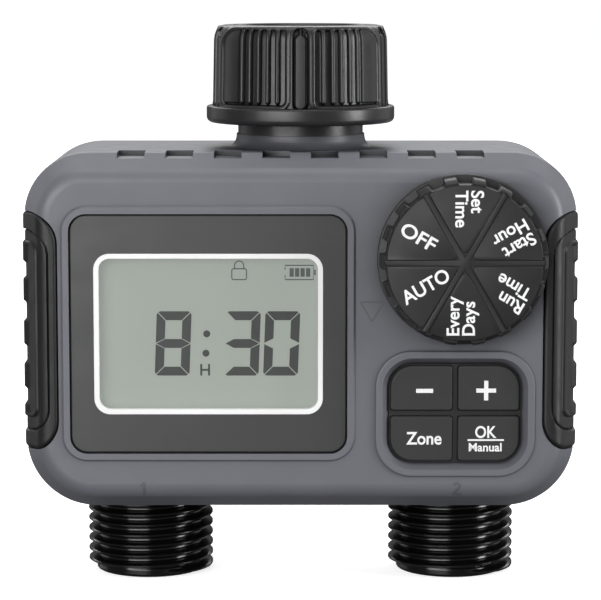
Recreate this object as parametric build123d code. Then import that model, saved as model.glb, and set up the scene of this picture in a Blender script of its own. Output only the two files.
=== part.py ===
from build123d import *
import math
import os

# Two-outlet irrigation timer that screws on to a garden tap.
# Units are millimetres. +Z is up along the inlet, +X is to the right seen from the front, and the
# front face looks towards -Y. The origin is the centre of the sealing face of the tap washer.

# ---- hose threads (3/4 inch garden hose thread, 11.5 turns per inch) ----
PITCH = 25.4 / 11.5
MALE_CREST_R = 13.45
MALE_ROOT_R = 12.1
FEMALE_CREST_R = 12.25
FEMALE_ROOT_R = 13.6
CREST_LAND = 0.5
FLANK_HALF = 1.1  # half the width of a thread ridge at its root

# ---- housing ----
WIDTH = 114.3
TOP = -15.35
BOTTOM = -89.4
MIDDLE = (TOP + BOTTOM) / 2
TOP_CORNER = 13.2
BOTTOM_CORNER = 14.5
FRONT_Y = -26.0
CREASE_Y = -19.6
SPLIT_Y = 17.5
REAR_Y = 26.0
BEVEL_INSET = 3.8
BEVEL_TAPER = math.degrees(math.atan(BEVEL_INSET / (CREASE_Y - FRONT_Y)))
REAR_INSET = 0.4
REAR_TAPER = math.degrees(math.atan(REAR_INSET / (REAR_Y - SPLIT_Y - 0.5)))
WALL = 2.2
FRONT_WALL = 2.4
FACE_BLEND_R = 3.5
CREASE_BLEND_R = 0.8
REAR_BLEND_R = 3.0
GAP = 0.15  # fitting gap between separate mouldings
RUNNING_GAP = 0.05  # radial clearance of a part that turns or slides in another
SCREW_R = 1.45
SCREW_HEAD_R = 2.7
SCREW_SINK = 1.4  # how far the heads lie below the rear face
SCREW_X = 50.0
SCREW_ROWS = (-24.8, -81.0)
NOTCHES = 8
NOTCH_PITCH = 10.0
NOTCH_W = 5.7
NOTCH_DEPTH = 1.1

# ---- inlet ----
NUT_TOP = 10.5
NUT_BOTTOM = -9.7
NUT_R = 18.4
NUT_RIM_R = 17.2
NUT_FLANGE_R = 20.0
NUT_FLANGE_TOP = -6.3
NUT_SLOTS = 5
NUT_RIBS = 7
FIRST_RIDGE_Z = 0.6
NUT_RIDGES = 4
WASHER_T = 3.2
WASHER_R = 12.7
TAIL_R = 10.35
TAIL_BORE_R = 8.0
TAIL_FLANGE_R = 12.6
TAIL_FLANGE_T = 2.2
TAIL_BOTTOM = -20.0
NECK_R = 13.3
NECK_TOP = -9.9
COLLAR_TOP = -12.5
COLLAR_R = 13.65
FLARE_R = 2.0  # how far the collar's foot spreads
FLARE_H = 2.6
NECK_SPIGOT_R = 11.8
NECK_BOTTOM = -22.0
SOCKET_R = 13.8
SOCKET_BOTTOM = -22.4
PIPE_R = 7.0
PIPE_BORE_R = 5.0

# ---- outlets and valves ----
OUTLET_X = 32.5
OUTLET_BOTTOM = -106.8
OUTLET_BORE_R = 9.2
OUTLET_RIDGES = 7
LAST_RIDGE_Z = -104.7
PLUG_R = 10.4  # the top of the outlet spigot, which plugs into the valve body
PLUG_TOP = -82.4
VALVE_R = 13.2
VALVE_WALL = 1.8
VALVE_TOP = -60.0
VALVE_BOTTOM = -86.8
VALVE_FLOOR = -80.0
ARM_Z = -72.0
ARM_END_X = 20.6
SEAT_TOP = -62.05
SEAT_R = 6.6
SEAT_BORE_R = 5.0
DIAPHRAGM_T = 0.9
STUD_R = 2.9
POPPET_R = 7.2
BONNET_BASE = VALVE_TOP + DIAPHRAGM_T
BONNET_DECK = -53.1
EAR_OFFSET = 10.3
EAR_R = 2.4
PLUNGER_R = 4.0
PLUNGER_TOP = -37.0
GUIDE_R = 5.2
GUIDE_TOP = -30.6
GUIDE_CAP = 1.4
COIL_R = 10.5
COIL_TOP = -35.0
COIL_BOTTOM = -51.0
COIL_WALL = 0.8
YOKE_T = 1.6

# ---- display ----
PANEL_X = -18.95
PANEL_Z = -52.35
PANEL_W = 57.2
PANEL_H = 49.7
PANEL_CORNER = 3.6
PANEL_T = 1.6
PANEL_FRONT_Y = FRONT_Y + 0.1
RIM_WIDTH = 1.6
RIM_HEIGHT = 0.5
FRAME_W = 47.1
FRAME_H = 33.3
FRAME_CORNER = 3.3
FRAME_LINE = 1.0
LENS_T = 1.0
LENS_SINK = 0.3  # how far the window lies behind the bezel's face
LCD_W = 49.0
LCD_H = 36.0
LCD_T = 2.2
LCD_FRONT_Y = FRONT_Y + FRONT_WALL + 0.85

# ---- dial ----
DIAL_X = 33.2
DIAL_Z = -36.7
DIAL_BASE_R = 17.5
DIAL_FACE_R = 16.3
DIAL_BACK_Y = FRONT_Y - 0.55
DIAL_FACE_Y = -34.5
SECTORS = 6
SECTOR_H = 0.5
SPOKE_W = 1.2
POCKETS = 18
HUB_R = 4.0
SHAFT_R = 3.0

# ---- keypad and circuit board ----
PAD_X = 31.9
PAD_Z = -68.9
PAD_W = 27.4
PAD_H = 20.7
PAD_CORNER = 5.0
PAD_RIM = 2.8
PAD_MOUTH = 1.3  # how far the opening's sloping mouth widens on each side
PAD_RIM_CORNER = 7.6
KEY_GAP = 0.95
KEY_MARGIN = 0.25  # from the opening's edge to the keys
KEY_FRONT_Y = -25.6
KEY_BACK_Y = -22.6
KEY_STEM_R = 2.5
KEY_STEM_END = -20.6
WEB_FRONT_Y = -25.0
BOARD_FRONT_Y = -17.6
BOARD_T = 1.6
BOARD_X = 42.0
BOARD_TOP = -20.4
BOARD_BOTTOM = -85.6
BOARD_BACK_Y = BOARD_FRONT_Y + BOARD_T
BOARD_SCREW_X = 38.5
BOARD_SCREW_ROWS = (-22.9, -83.4)
BOARD_SCREW_R = 1.0
WIRE_R = 0.6

# ---- battery compartment ----
CELL_R = 7.25
CELL_L = 50.5
CELL_X = 7.6
CELL_Y = 15.95
WELL_X = 16.4
WELL_TOP = -27.6
WELL_BOTTOM = -82.0
WELL_FLOOR_Y = 8.6
WELL_WALL = 1.2
DOOR_X = 19.3
DOOR_TOP = -25.8
DOOR_BOTTOM = -83.8
DOOR_BACK_Y = 24.0
DOOR_REAR_Y = 25.8
SEAL_T = 0.75
SEAL_W = 1.0
HINGE_X = -21.3
HINGE_Y = 25.2
HINGE_R = 1.6
HINGE_PIN_R = 0.8
KNUCKLES = 5
KNUCKLE_TOP = DOOR_TOP - 4
KNUCKLE_BOTTOM = DOOR_BOTTOM + 4
CONTACT_T = 0.4
TAG_X = 13.0
TAG_END_Y = 6.2

# ---- grips ----
GRIP_TOP = -27.45
GRIP_BOTTOM = -76.85
GRIP_INNER_X = 50.0
GRIP_BACK_Y = 15.0
GRIP_PROUD = 0.15
GRIP_RIB_PROUD = 0.4
GRIP_DEPTH = 1.3
GRIP_CORNER = 6.5
GRIP_RIB_SWEEP = 24.0  # the ribs lie at equal angles round a circle of this radius
GRIP_RIB_ANGLE = 22.5
GRIP_RIB_H = 5.4


# ---------------------------------------------------------------- helpers
def front_plane(y):
    """A sketch plane facing the front (-Y) at depth y: sketch x is X and sketch y is Z."""
    return Plane(origin=(0, y, 0), x_dir=(1, 0, 0), z_dir=(0, -1, 0))


def slab(outline, y_back, y_front, taper=0.0):
    """An outline drawn in X and Z, made solid from y_back forward to y_front."""
    return extrude(front_plane(y_back) * outline, amount=y_back - y_front, taper=taper)


def upright(radius, z_low, z_high, x=0.0, y=0.0):
    """A vertical cylinder."""
    return Pos(x, y, (z_low + z_high) / 2) * Cylinder(radius, z_high - z_low)


def tube(radius, bore, z_low, z_high, x=0.0, y=0.0):
    """A vertical tube."""
    return upright(radius, z_low, z_high, x, y) - upright(bore, z_low, z_high, x, y)


def peg(radius, y_back, y_front, x, z):
    """A cylinder lying along Y."""
    return slab(Pos(x, z) * Circle(radius), y_back, y_front)


def crossbar(radius, x_low, x_high, y, z):
    """A cylinder lying along X."""
    return Pos((x_low + x_high) / 2, y, z) * Rot(0, 90, 0) * Cylinder(radius, x_high - x_low)


def block(x_low, x_high, y_low, y_high, z_low, z_high):
    """A box between two corners."""
    centre = Pos((x_low + x_high) / 2, (y_low + y_high) / 2, (z_low + z_high) / 2)
    return centre * Box(x_high - x_low, y_high - y_low, z_high - z_low)


def rounded(width, height, corner, x=0.0, z=0.0):
    """A rounded rectangle in X and Z."""
    return Pos(x, z) * RectangleRounded(width, height, corner)


def spun(points, x=0.0):
    """A solid of revolution about a vertical axis, from (radius, z) points."""
    profile = make_face(Polyline([(r, 0, z) for r, z in points], close=True))
    return Pos(x, 0, 0) * revolve(profile, Axis.Z)


def turned(points):
    """A solid of revolution about the Y axis, from (radius, y) points."""
    return revolve(make_face(Polyline([(r, y, 0) for r, y in points], close=True)), Axis.Y)


def o_ring(ring_r, cord_r, z, x=0.0):
    """A rubber ring around a vertical axis."""
    return Pos(x, 0, z) * Torus(ring_r, cord_r)


def coil_spring(radius, wire_r, height, turns):
    """A helical spring standing on the XY plane."""
    path = Helix(pitch=height / turns, height=height, radius=radius)
    section = Plane(origin=path @ 0, z_dir=path % 0) * Circle(wire_r)
    return sweep(section, path=path, is_frenet=True)


# ---------------------------------------------------------------- housing
def housing_outline(grow=0.0):
    """The front view outline of the housing, with larger corners at the top."""
    outline = Pos(0, MIDDLE) * Rectangle(WIDTH + 2 * grow, TOP - BOTTOM + 2 * grow)
    outline = fillet(outline.vertices().group_by(Axis.Y)[-1], TOP_CORNER + grow)
    return fillet(outline.vertices().group_by(Axis.Y)[0], BOTTOM_CORNER + grow)


def front_envelope(grow=0.0):
    """The outer form of the front shell: straight walls, then a bevel that blends into the face."""
    straight = slab(housing_outline(grow), SPLIT_Y, CREASE_Y)
    body = straight + slab(housing_outline(grow), CREASE_Y, FRONT_Y - grow, taper=BEVEL_TAPER)
    body = fillet(body.edges().group_by(Axis.Y)[0], FACE_BLEND_R)
    crease = [e for e in body.edges() if abs(e.center().Y - CREASE_Y) < 0.01]
    return fillet(crease, CREASE_BLEND_R)


def front_cavity():
    """The hollow of the front shell."""
    outline = housing_outline(-WALL)
    straight = slab(outline, SPLIT_Y, CREASE_Y)
    return straight + slab(outline, CREASE_Y, FRONT_Y + FRONT_WALL, taper=BEVEL_TAPER)


def rear_form(inset, y_front, y_rear):
    """The rear shell's form: straight for a moment, then narrowing to the rear face."""
    start = SPLIT_Y + 0.5
    outline = housing_outline(-inset)
    straight = slab(outline, start, y_front)
    narrowing = extrude(Plane.XZ.offset(-start) * outline, amount=start - y_rear, taper=REAR_TAPER)
    return straight + narrowing


def grip_region(clearance=0.0):
    """What a right-hand grip covers in the front view, cut off at the grip's rear edge."""
    low_x, high_x = GRIP_INNER_X - clearance, WIDTH / 2 + 5
    height = GRIP_TOP - GRIP_BOTTOM + 2 * clearance
    centre = Pos((low_x + high_x) / 2, (GRIP_TOP + GRIP_BOTTOM) / 2)
    outline = centre * Rectangle(high_x - low_x, height)
    outline = fillet(outline.vertices().group_by(Axis.X)[0], GRIP_CORNER)
    return slab(outline, GRIP_BACK_Y + clearance, FRONT_Y - 3)


def housing_screw_places():
    """Where the housing screws go, as (x, z)."""
    return [(side * SCREW_X, z) for side in (-1, 1) for z in SCREW_ROWS]


def board_screw_places():
    """Where the circuit board's screws go, as (x, z)."""
    return [(side * BOARD_SCREW_X, z) for side in (-1, 1) for z in BOARD_SCREW_ROWS]


def pad_mouth():
    """The sloping mouth of the keypad opening, to be cut from the shell."""
    depth = RIM_HEIGHT + PAD_MOUTH
    mouth = rounded(PAD_W + 2 * PAD_MOUTH, PAD_H + 2 * PAD_MOUTH, PAD_CORNER + PAD_MOUTH, PAD_X, PAD_Z)
    lean = math.degrees(math.atan(PAD_MOUTH / depth))
    return extrude(front_plane(FRONT_Y - RIM_HEIGHT) * mouth, amount=-depth, taper=lean)


def front_shell(envelope, grip_floor):
    shell = envelope - front_cavity()
    for side in (-1, 1):
        shell += upright(MALE_ROOT_R + 0.8, BOTTOM - 0.4, BOTTOM + WALL, side * OUTLET_X)
    # bosses for the housing screws and the circuit board's screws
    for x, z in housing_screw_places():
        shell += peg(3.1, SPLIT_Y, FRONT_Y + FRONT_WALL + 2, x, z)
    for x, z in board_screw_places():
        shell += peg(2.3, BOARD_FRONT_Y, FRONT_Y + FRONT_WALL - 0.5, x, z)
    # raised rims around the display and the keypad
    rim = slab(rounded(PANEL_W + 2 * RIM_WIDTH, PANEL_H + 2 * RIM_WIDTH, PANEL_CORNER + RIM_WIDTH,
                       PANEL_X, PANEL_Z), FRONT_Y + 0.5, FRONT_Y - RIM_HEIGHT)
    shell += chamfer(rim.edges().group_by(Axis.Y)[0], 0.35)
    pad_rim = slab(rounded(PAD_W + 2 * PAD_RIM, PAD_H + 2 * PAD_RIM, PAD_RIM_CORNER, PAD_X, PAD_Z),
                   FRONT_Y + 3.6, FRONT_Y - RIM_HEIGHT)
    shell += fillet(pad_rim.edges().group_by(Axis.Y)[0], 0.4)
    # the ledge behind the display bezel and its window
    shell += slab(rounded(FRAME_W + 3, FRAME_H + 3, FRAME_CORNER, PANEL_X, PANEL_Z),
                  FRONT_Y + FRONT_WALL + 0.8, FRONT_Y + 1)
    shell -= slab(rounded(PANEL_W, PANEL_H, PANEL_CORNER, PANEL_X, PANEL_Z),
                  PANEL_FRONT_Y + PANEL_T, FRONT_Y - 2)
    shell -= slab(rounded(FRAME_W - 1, FRAME_H - 1, FRAME_CORNER, PANEL_X, PANEL_Z), FRONT_Y + 6, FRONT_Y)
    # keypad opening
    shell -= slab(rounded(PAD_W, PAD_H, PAD_CORNER, PAD_X, PAD_Z), FRONT_Y + 8, FRONT_Y - 2)
    shell -= pad_mouth()
    # notches across the top crease
    for n in range(NOTCHES):
        x = NOTCH_PITCH * (n - (NOTCHES - 1) / 2)
        shell -= block(x - NOTCH_W / 2, x + NOTCH_W / 2, FRONT_Y, CREASE_Y + 6.5, TOP - NOTCH_DEPTH, TOP + 1)
    # the collar round the inlet neck, with a hollow-curved foot
    shell += upright(COLLAR_R, TOP - WALL, COLLAR_TOP)
    turns = [math.pi / 2 * k / 8 for k in range(9)]
    foot = [(COLLAR_R + FLARE_R * (1 - math.sin(t)), TOP + FLARE_H * (1 - math.cos(t))) for t in turns]
    shell += spun([(COLLAR_R - 1, TOP - NOTCH_DEPTH - 0.2), (foot[0][0], TOP - NOTCH_DEPTH - 0.2)] + foot
                  + [(COLLAR_R - 1, foot[-1][1])])
    # holes for the inlet neck, the outlets and the dial
    shell -= upright(NECK_SPIGOT_R + RUNNING_GAP, TOP - 5, 0)
    for side in (-1, 1):
        shell -= upright(MALE_ROOT_R + RUNNING_GAP, BOTTOM - 3, BOTTOM + 4, side * OUTLET_X)
    shell += peg(HUB_R + 2.0, FRONT_Y + FRONT_WALL + 1, FRONT_Y + 1, DIAL_X, DIAL_Z)
    shell -= peg(HUB_R + RUNNING_GAP, FRONT_Y + 5, FRONT_Y - 2, DIAL_X, DIAL_Z)
    for x, z in housing_screw_places():
        shell -= peg(SCREW_R + RUNNING_GAP, SPLIT_Y + 1, 2.0, x, z)
    for x, z in board_screw_places():
        shell -= peg(1.05, BOARD_FRONT_Y + 1, FRONT_Y + FRONT_WALL + 0.6, x, z)
    # the gasket's groove in the parting face
    shell -= gasket_ring(0.05, SPLIT_Y + 1, SPLIT_Y - 0.6)
    # recesses for the two grips
    recess = grip_region(GAP) - grip_floor
    return shell - recess - mirror(recess, Plane.YZ)


def gasket_ring(clearance, y_back, y_front):
    """The ring that the housing gasket fills, inside the wall's thickness."""
    middle = -WALL / 2
    outer = slab(housing_outline(middle + 0.5 + clearance), y_back, y_front)
    return outer - slab(housing_outline(middle - 0.5 - clearance), y_back, y_front)


def right_grip(grip_floor):
    """The soft strap set into the side of the front shell, with ribs round its outer side."""
    grip = (front_envelope(GRIP_PROUD) - grip_floor) & grip_region()
    ribs = front_envelope(GRIP_RIB_PROUD) - grip_floor
    middle = (GRIP_TOP + GRIP_BOTTOM) / 2
    bands = Part()
    for n in range(-3, 4):
        angle = math.radians(GRIP_RIB_ANGLE * n)
        z = middle + GRIP_RIB_SWEEP * math.sin(angle)
        half = GRIP_RIB_H * math.cos(angle) / 2
        bands += block(GRIP_INNER_X + 4.5, WIDTH / 2 + 5, CREASE_Y - 1.5, GRIP_BACK_Y - 3, z - half, z + half)
    return grip + (ribs & bands)


def rear_shell():
    outer = rear_form(0, SPLIT_Y, REAR_Y)
    outer = fillet(outer.edges().group_by(Axis.Y)[-1], REAR_BLEND_R)
    shell = outer - rear_form(WALL, SPLIT_Y - 1, REAR_Y - WALL)
    well = block(-WELL_X - WELL_WALL, WELL_X + WELL_WALL, WELL_FLOOR_Y - WELL_WALL, REAR_Y - 0.5,
                 WELL_BOTTOM - WELL_WALL, WELL_TOP + WELL_WALL)
    shell += well
    # the door's ledge and hinge channel
    ledge_y = DOOR_BACK_Y - SEAL_T - 0.05
    shell += block(HINGE_X - 3.4, DOOR_X + 2.2, ledge_y - 1.5, REAR_Y - 0.5, DOOR_BOTTOM - 0.6,
                   DOOR_TOP + 2)
    shell &= outer + well
    shell -= block(-WELL_X, WELL_X, WELL_FLOOR_Y, REAR_Y, WELL_BOTTOM, WELL_TOP)
    shell -= block(-DOOR_X - GAP, DOOR_X + GAP, ledge_y, REAR_Y + 1, DOOR_BOTTOM - GAP, DOOR_TOP + GAP)
    channel_top = KNUCKLE_TOP + GAP
    channel_bottom = KNUCKLE_BOTTOM - GAP
    shell -= block(HINGE_X, -DOOR_X, HINGE_Y - 2.0, REAR_Y + 1, channel_bottom, channel_top)
    shell -= upright(HINGE_R + 0.3, channel_bottom, channel_top, HINGE_X, HINGE_Y)
    # thumb notch beside the door's free edge
    notch = Pos(DOOR_X + 1.2, REAR_Y + 1.2, (DOOR_TOP + DOOR_BOTTOM) / 2)
    shell -= notch * Rot(0, 90, 90) * Cylinder(5, 3.4)
    for n in range(0, KNUCKLES, 2):
        shell += knuckle(n)
        low, high = knuckle_span(n)
        shell += block(HINGE_X - 2.6, HINGE_X - 0.9, HINGE_Y - 2.4, HINGE_Y, low, high)
    shell -= upright(HINGE_PIN_R + 0.02, channel_bottom - 0.3, channel_top + 0.3, HINGE_X, HINGE_Y)
    # slots for the battery contacts' tags
    for side in (-1, 1):
        shell -= block(side * TAG_X - 1.3, side * TAG_X + 1.3, 7, 10, WELL_TOP - 0.5, WELL_TOP)
    for x, z in housing_screw_places():
        boss = slab(Pos(x, z) * Circle(4.3), REAR_Y - 0.4, SPLIT_Y) & outer
        shell += boss
        shell -= peg(SCREW_R + RUNNING_GAP, REAR_Y + 1, SPLIT_Y - 1, x, z)
        shell -= peg(SCREW_HEAD_R + GAP, REAR_Y + 1, REAR_Y - SCREW_SINK - 2, x, z)
    return shell - gasket_ring(0.05, SPLIT_Y + 0.6, SPLIT_Y - 1)


def housing_screws():
    group = []
    for x, z in housing_screw_places():
        head = peg(SCREW_HEAD_R, REAR_Y - SCREW_SINK, REAR_Y - SCREW_SINK - 2, x, z)
        head = fillet(head.edges().group_by(Axis.Y)[-1], 0.8)
        shank = peg(SCREW_R, REAR_Y - SCREW_SINK - 1.9, 4.0, x, z)
        cross = Pos(x, REAR_Y - SCREW_SINK, z) * (Box(3, 1.6, 0.6) + Box(0.6, 1.6, 3))
        group.append(head + shank - cross)
    return Compound(children=group)


# ---------------------------------------------------------------- display
def display_bezel():
    panel = slab(rounded(PANEL_W - 2 * GAP, PANEL_H - 2 * GAP, PANEL_CORNER - GAP, PANEL_X, PANEL_Z),
                 PANEL_FRONT_Y + PANEL_T, PANEL_FRONT_Y)
    panel = chamfer(panel.edges().group_by(Axis.Y)[0], 0.3)
    return panel - slab(rounded(FRAME_W + 0.04, FRAME_H + 0.04, FRAME_CORNER, PANEL_X, PANEL_Z),
                        FRONT_Y + 3, FRONT_Y - 1)


def display_frame():
    """The thin light-coloured ring round the window, with a step that holds the lens."""
    ring = slab(rounded(FRAME_W, FRAME_H, FRAME_CORNER, PANEL_X, PANEL_Z), PANEL_FRONT_Y + PANEL_T,
                PANEL_FRONT_Y + 0.05)
    inner_w, inner_h = FRAME_W - 2 * FRAME_LINE, FRAME_H - 2 * FRAME_LINE
    return ring - slab(rounded(inner_w, inner_h, FRAME_CORNER - FRAME_LINE, PANEL_X, PANEL_Z),
                       FRONT_Y + 3, FRONT_Y - 1)


def display_window():
    inner_w, inner_h = FRAME_W - 2 * FRAME_LINE - 0.04, FRAME_H - 2 * FRAME_LINE - 0.04
    lens = slab(rounded(inner_w, inner_h, FRAME_CORNER - FRAME_LINE, PANEL_X, PANEL_Z),
                PANEL_FRONT_Y + LENS_SINK + LENS_T, PANEL_FRONT_Y + LENS_SINK)
    return chamfer(lens.edges().group_by(Axis.Y)[0], 0.2)


def lcd_panel():
    glass = block(PANEL_X - LCD_W / 2, PANEL_X + LCD_W / 2, LCD_FRONT_Y, LCD_FRONT_Y + LCD_T,
                  PANEL_Z - LCD_H / 2, PANEL_Z + LCD_H / 2)
    return chamfer(glass.edges().filter_by(Axis.Y), 0.6)


def lcd_connector():
    """Two rubber contact strips that join the glass to the circuit board."""
    half_w, half_h = LCD_W / 2 - 2.5, 1.1
    strips = []
    for z in (PANEL_Z - LCD_H / 2 + 2, PANEL_Z + LCD_H / 2 - 2):
        strips.append(block(PANEL_X - half_w, PANEL_X + half_w, LCD_FRONT_Y + LCD_T, BOARD_FRONT_Y,
                            z - half_h, z + half_h))
    return Compound(children=strips)


def main_pcb():
    centre = Pos(0, (BOARD_TOP + BOARD_BOTTOM) / 2)
    board = slab(centre * RectangleRounded(2 * BOARD_X, BOARD_TOP - BOARD_BOTTOM, 6),
                 BOARD_BACK_Y, BOARD_FRONT_Y)
    for x, z in board_screw_places():
        board -= peg(BOARD_SCREW_R + 0.1, 0, FRONT_Y, x, z)
    return board - peg(SHAFT_R + 0.3, 0, FRONT_Y, DIAL_X, DIAL_Z)


def board_screws():
    group = []
    for x, z in board_screw_places():
        head = peg(1.9, BOARD_BACK_Y + 1.4, BOARD_BACK_Y, x, z)
        head = fillet(head.edges().group_by(Axis.Y)[-1], 0.5)
        shank = peg(BOARD_SCREW_R, BOARD_BACK_Y + 0.1, FRONT_Y + 4, x, z)
        slot = block(x - 1.2, x + 1.2, BOARD_BACK_Y + 0.8, 0, z - 0.3, z + 0.3)
        group.append(head + shank - slot)
    return Compound(children=group)


def battery_leads():
    """Two short wires from the battery contacts' tags straight forward to the circuit board."""
    wires = [peg(WIRE_R, TAG_END_Y, BOARD_BACK_Y, side * TAG_X, WELL_TOP - 0.25) for side in (-1, 1)]
    return Compound(children=wires)


# ---------------------------------------------------------------- dial
def mode_dial():
    knob = turned([(0, DIAL_BACK_Y), (DIAL_BASE_R, DIAL_BACK_Y), (DIAL_FACE_R + 0.1, DIAL_FACE_Y + 0.5),
                   (DIAL_FACE_R - 0.4, DIAL_FACE_Y), (0, DIAL_FACE_Y)])
    # hand pockets round the rim
    pocket = Box(2.6, 3.6, 3.0)
    pocket = fillet(pocket.edges().filter_by(Axis.Y), 0.4)
    pocket = Pos(0, DIAL_FACE_Y - 0.6, DIAL_FACE_R + 1.0) * Rot(18, 0, 0) * pocket
    for n in range(POCKETS):
        knob -= Rot(0, 360 / POCKETS * (n + 0.5), 0) * pocket
    # grooves between the sectors, and a small round at the middle
    for n in range(SECTORS):
        groove = block(0, DIAL_FACE_R - 2.6, DIAL_FACE_Y - 1, DIAL_FACE_Y + SECTOR_H,
                       -SPOKE_W / 2, SPOKE_W / 2)
        knob -= Rot(0, 360 / SECTORS * n, 0) * groove
    # hollow back, hub and the shaft's hole
    hollow = slab(Circle(DIAL_BASE_R - 2), DIAL_BACK_Y + 1, DIAL_FACE_Y + 2.4)
    knob -= hollow - slab(Circle(HUB_R + 1.8), DIAL_BACK_Y + 2, DIAL_FACE_Y)
    knob += slab(Circle(HUB_R), FRONT_Y + 3.4, DIAL_FACE_Y + 2.4)
    knob -= slab(Circle(HUB_R + 1) - Circle(HUB_R - 0.8), FRONT_Y + 1.7, FRONT_Y + 0.7)
    knob -= slab(Circle(SHAFT_R), FRONT_Y + 4, DIAL_FACE_Y + 2.0)
    return Pos(DIAL_X, 0, DIAL_Z) * knob


def dial_shaft():
    shaft = slab(Circle(SHAFT_R), BOARD_FRONT_Y - 0.4, DIAL_FACE_Y + 2.0)
    return Pos(DIAL_X, 0, DIAL_Z) * shaft


def dial_o_ring():
    return Pos(DIAL_X, FRONT_Y + 1.2, DIAL_Z) * Rot(90, 0, 0) * Torus(HUB_R - 0.4, 0.4)


def rotary_switch():
    body = slab(Circle(9), BOARD_FRONT_Y, FRONT_Y + 4.2)
    body -= slab(Circle(SHAFT_R + RUNNING_GAP), BOARD_FRONT_Y - 0.3, FRONT_Y)
    return Pos(DIAL_X, 0, DIAL_Z) * body


# ---------------------------------------------------------------- keypad
def key_outline(column, row, inset):
    """One quarter of the keypad opening: column and row are -1 or 1."""
    edge = KEY_MARGIN + inset
    whole = RectangleRounded(PAD_W - 2 * edge, PAD_H - 2 * edge, PAD_CORNER - edge)
    inner = KEY_GAP / 2 + inset
    quarter = whole & Pos(column * (inner + PAD_W), row * (inner + PAD_H)) * Rectangle(2 * PAD_W, 2 * PAD_H)
    sharp = [v for v in quarter.vertices() if min(abs(v.X), abs(v.Y)) < inner + 0.01]
    return Pos(PAD_X, PAD_Z) * fillet(sharp, 0.7)


def key(column, row):
    cap = slab(key_outline(column, row, 0.1), KEY_BACK_Y, KEY_FRONT_Y)
    cap = fillet(cap.edges().group_by(Axis.Y)[0], 0.4)
    x = PAD_X + column * (PAD_W / 4 - 0.1)
    z = PAD_Z + row * (PAD_H / 4 - 0.1)
    return cap + peg(KEY_STEM_R, KEY_STEM_END, KEY_BACK_Y - 0.5, x, z)


def keypad_web():
    """The soft sheet between the keys, with a flange behind the shell."""
    web = slab(rounded(PAD_W - 0.1, PAD_H - 0.1, PAD_CORNER, PAD_X, PAD_Z), FRONT_Y + 4.4, WEB_FRONT_Y)
    web += slab(rounded(PAD_W + 3, PAD_H + 3, PAD_CORNER, PAD_X, PAD_Z), FRONT_Y + 4.4, FRONT_Y + 3.65)
    for column in (-1, 1):
        for row in (-1, 1):
            web -= slab(key_outline(column, row, -0.02), FRONT_Y + 6, FRONT_Y - 1)
    return web


def key_switches():
    """The four small push switches under the keys."""
    group = []
    for column in (-1, 1):
        for row in (-1, 1):
            x = PAD_X + column * (PAD_W / 4 - 0.1)
            z = PAD_Z + row * (PAD_H / 4 - 0.1)
            body = block(x - 3, x + 3, BOARD_FRONT_Y - 1.2, BOARD_FRONT_Y, z - 3, z + 3)
            group.append(body + peg(1.7, BOARD_FRONT_Y, BOARD_FRONT_Y - 1.8, x, z))
    return Compound(children=group)


# ---------------------------------------------------------------- inlet
def ridge(root_r, crest_r, z, x=0.0):
    """One ring of a thread, standing out from root_r to crest_r with a flat crest."""
    land = CREST_LAND / 2
    profile = [(root_r, z - FLANK_HALF), (crest_r, z - land), (crest_r, z + land), (root_r, z + FLANK_HALF)]
    return spun(profile, x)


def inlet_nut():
    """The hand nut: a socket with a hose thread above, and a lip that bears under the tail's flange."""
    seat_r = WASHER_R + 0.3
    seat_z = -WASHER_T - TAIL_FLANGE_T - 0.05
    profile = [(TAIL_R + RUNNING_GAP, NUT_BOTTOM), (NUT_FLANGE_R - 1.4, NUT_BOTTOM),
               (NUT_FLANGE_R, NUT_BOTTOM + 1.3), (NUT_FLANGE_R, NUT_FLANGE_TOP - 0.4),
               (NUT_FLANGE_R - 0.6, NUT_FLANGE_TOP), (NUT_R, NUT_FLANGE_TOP + 0.3), (NUT_R, NUT_TOP - 2.4),
               (NUT_R - 0.5, NUT_TOP - 0.9), (NUT_RIM_R, NUT_TOP), (FEMALE_ROOT_R + 0.6, NUT_TOP),
               (FEMALE_ROOT_R, NUT_TOP - 0.8), (FEMALE_ROOT_R, -0.6), (seat_r, -0.6), (seat_r, seat_z),
               (TAIL_R + RUNNING_GAP, seat_z)]
    nut = spun(profile)
    for n in range(NUT_RIDGES):
        z = FIRST_RIDGE_Z + n * PITCH
        nut += tube(FEMALE_ROOT_R + 0.2, FEMALE_ROOT_R - 0.1, z - FLANK_HALF, z + FLANK_HALF)
        nut += ridge(FEMALE_ROOT_R + 0.1, FEMALE_CREST_R, z)
    low, high = NUT_FLANGE_TOP + 1.6, NUT_TOP - 2.8
    slot = block(-1.4, 1.4, -NUT_FLANGE_R, -NUT_R + 0.9, low, high)
    ribs = 360 / NUT_SLOTS / (NUT_RIBS + 2)
    groove = block(-0.6, 0.6, -NUT_FLANGE_R, -NUT_R + 0.6, low, high)
    for n in range(NUT_SLOTS):
        nut -= Rot(0, 0, 360 / NUT_SLOTS * n) * slot
        for k in range(NUT_RIBS):
            nut -= Rot(0, 0, 360 / NUT_SLOTS * n + ribs * (k + 1.5)) * groove
    return nut


def hose_washer():
    washer = tube(WASHER_R, TAIL_BORE_R, -WASHER_T, 0)
    return fillet(washer.edges().filter_by(GeomType.CIRCLE).group_by(Axis.Z)[-1], 0.6)


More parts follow.
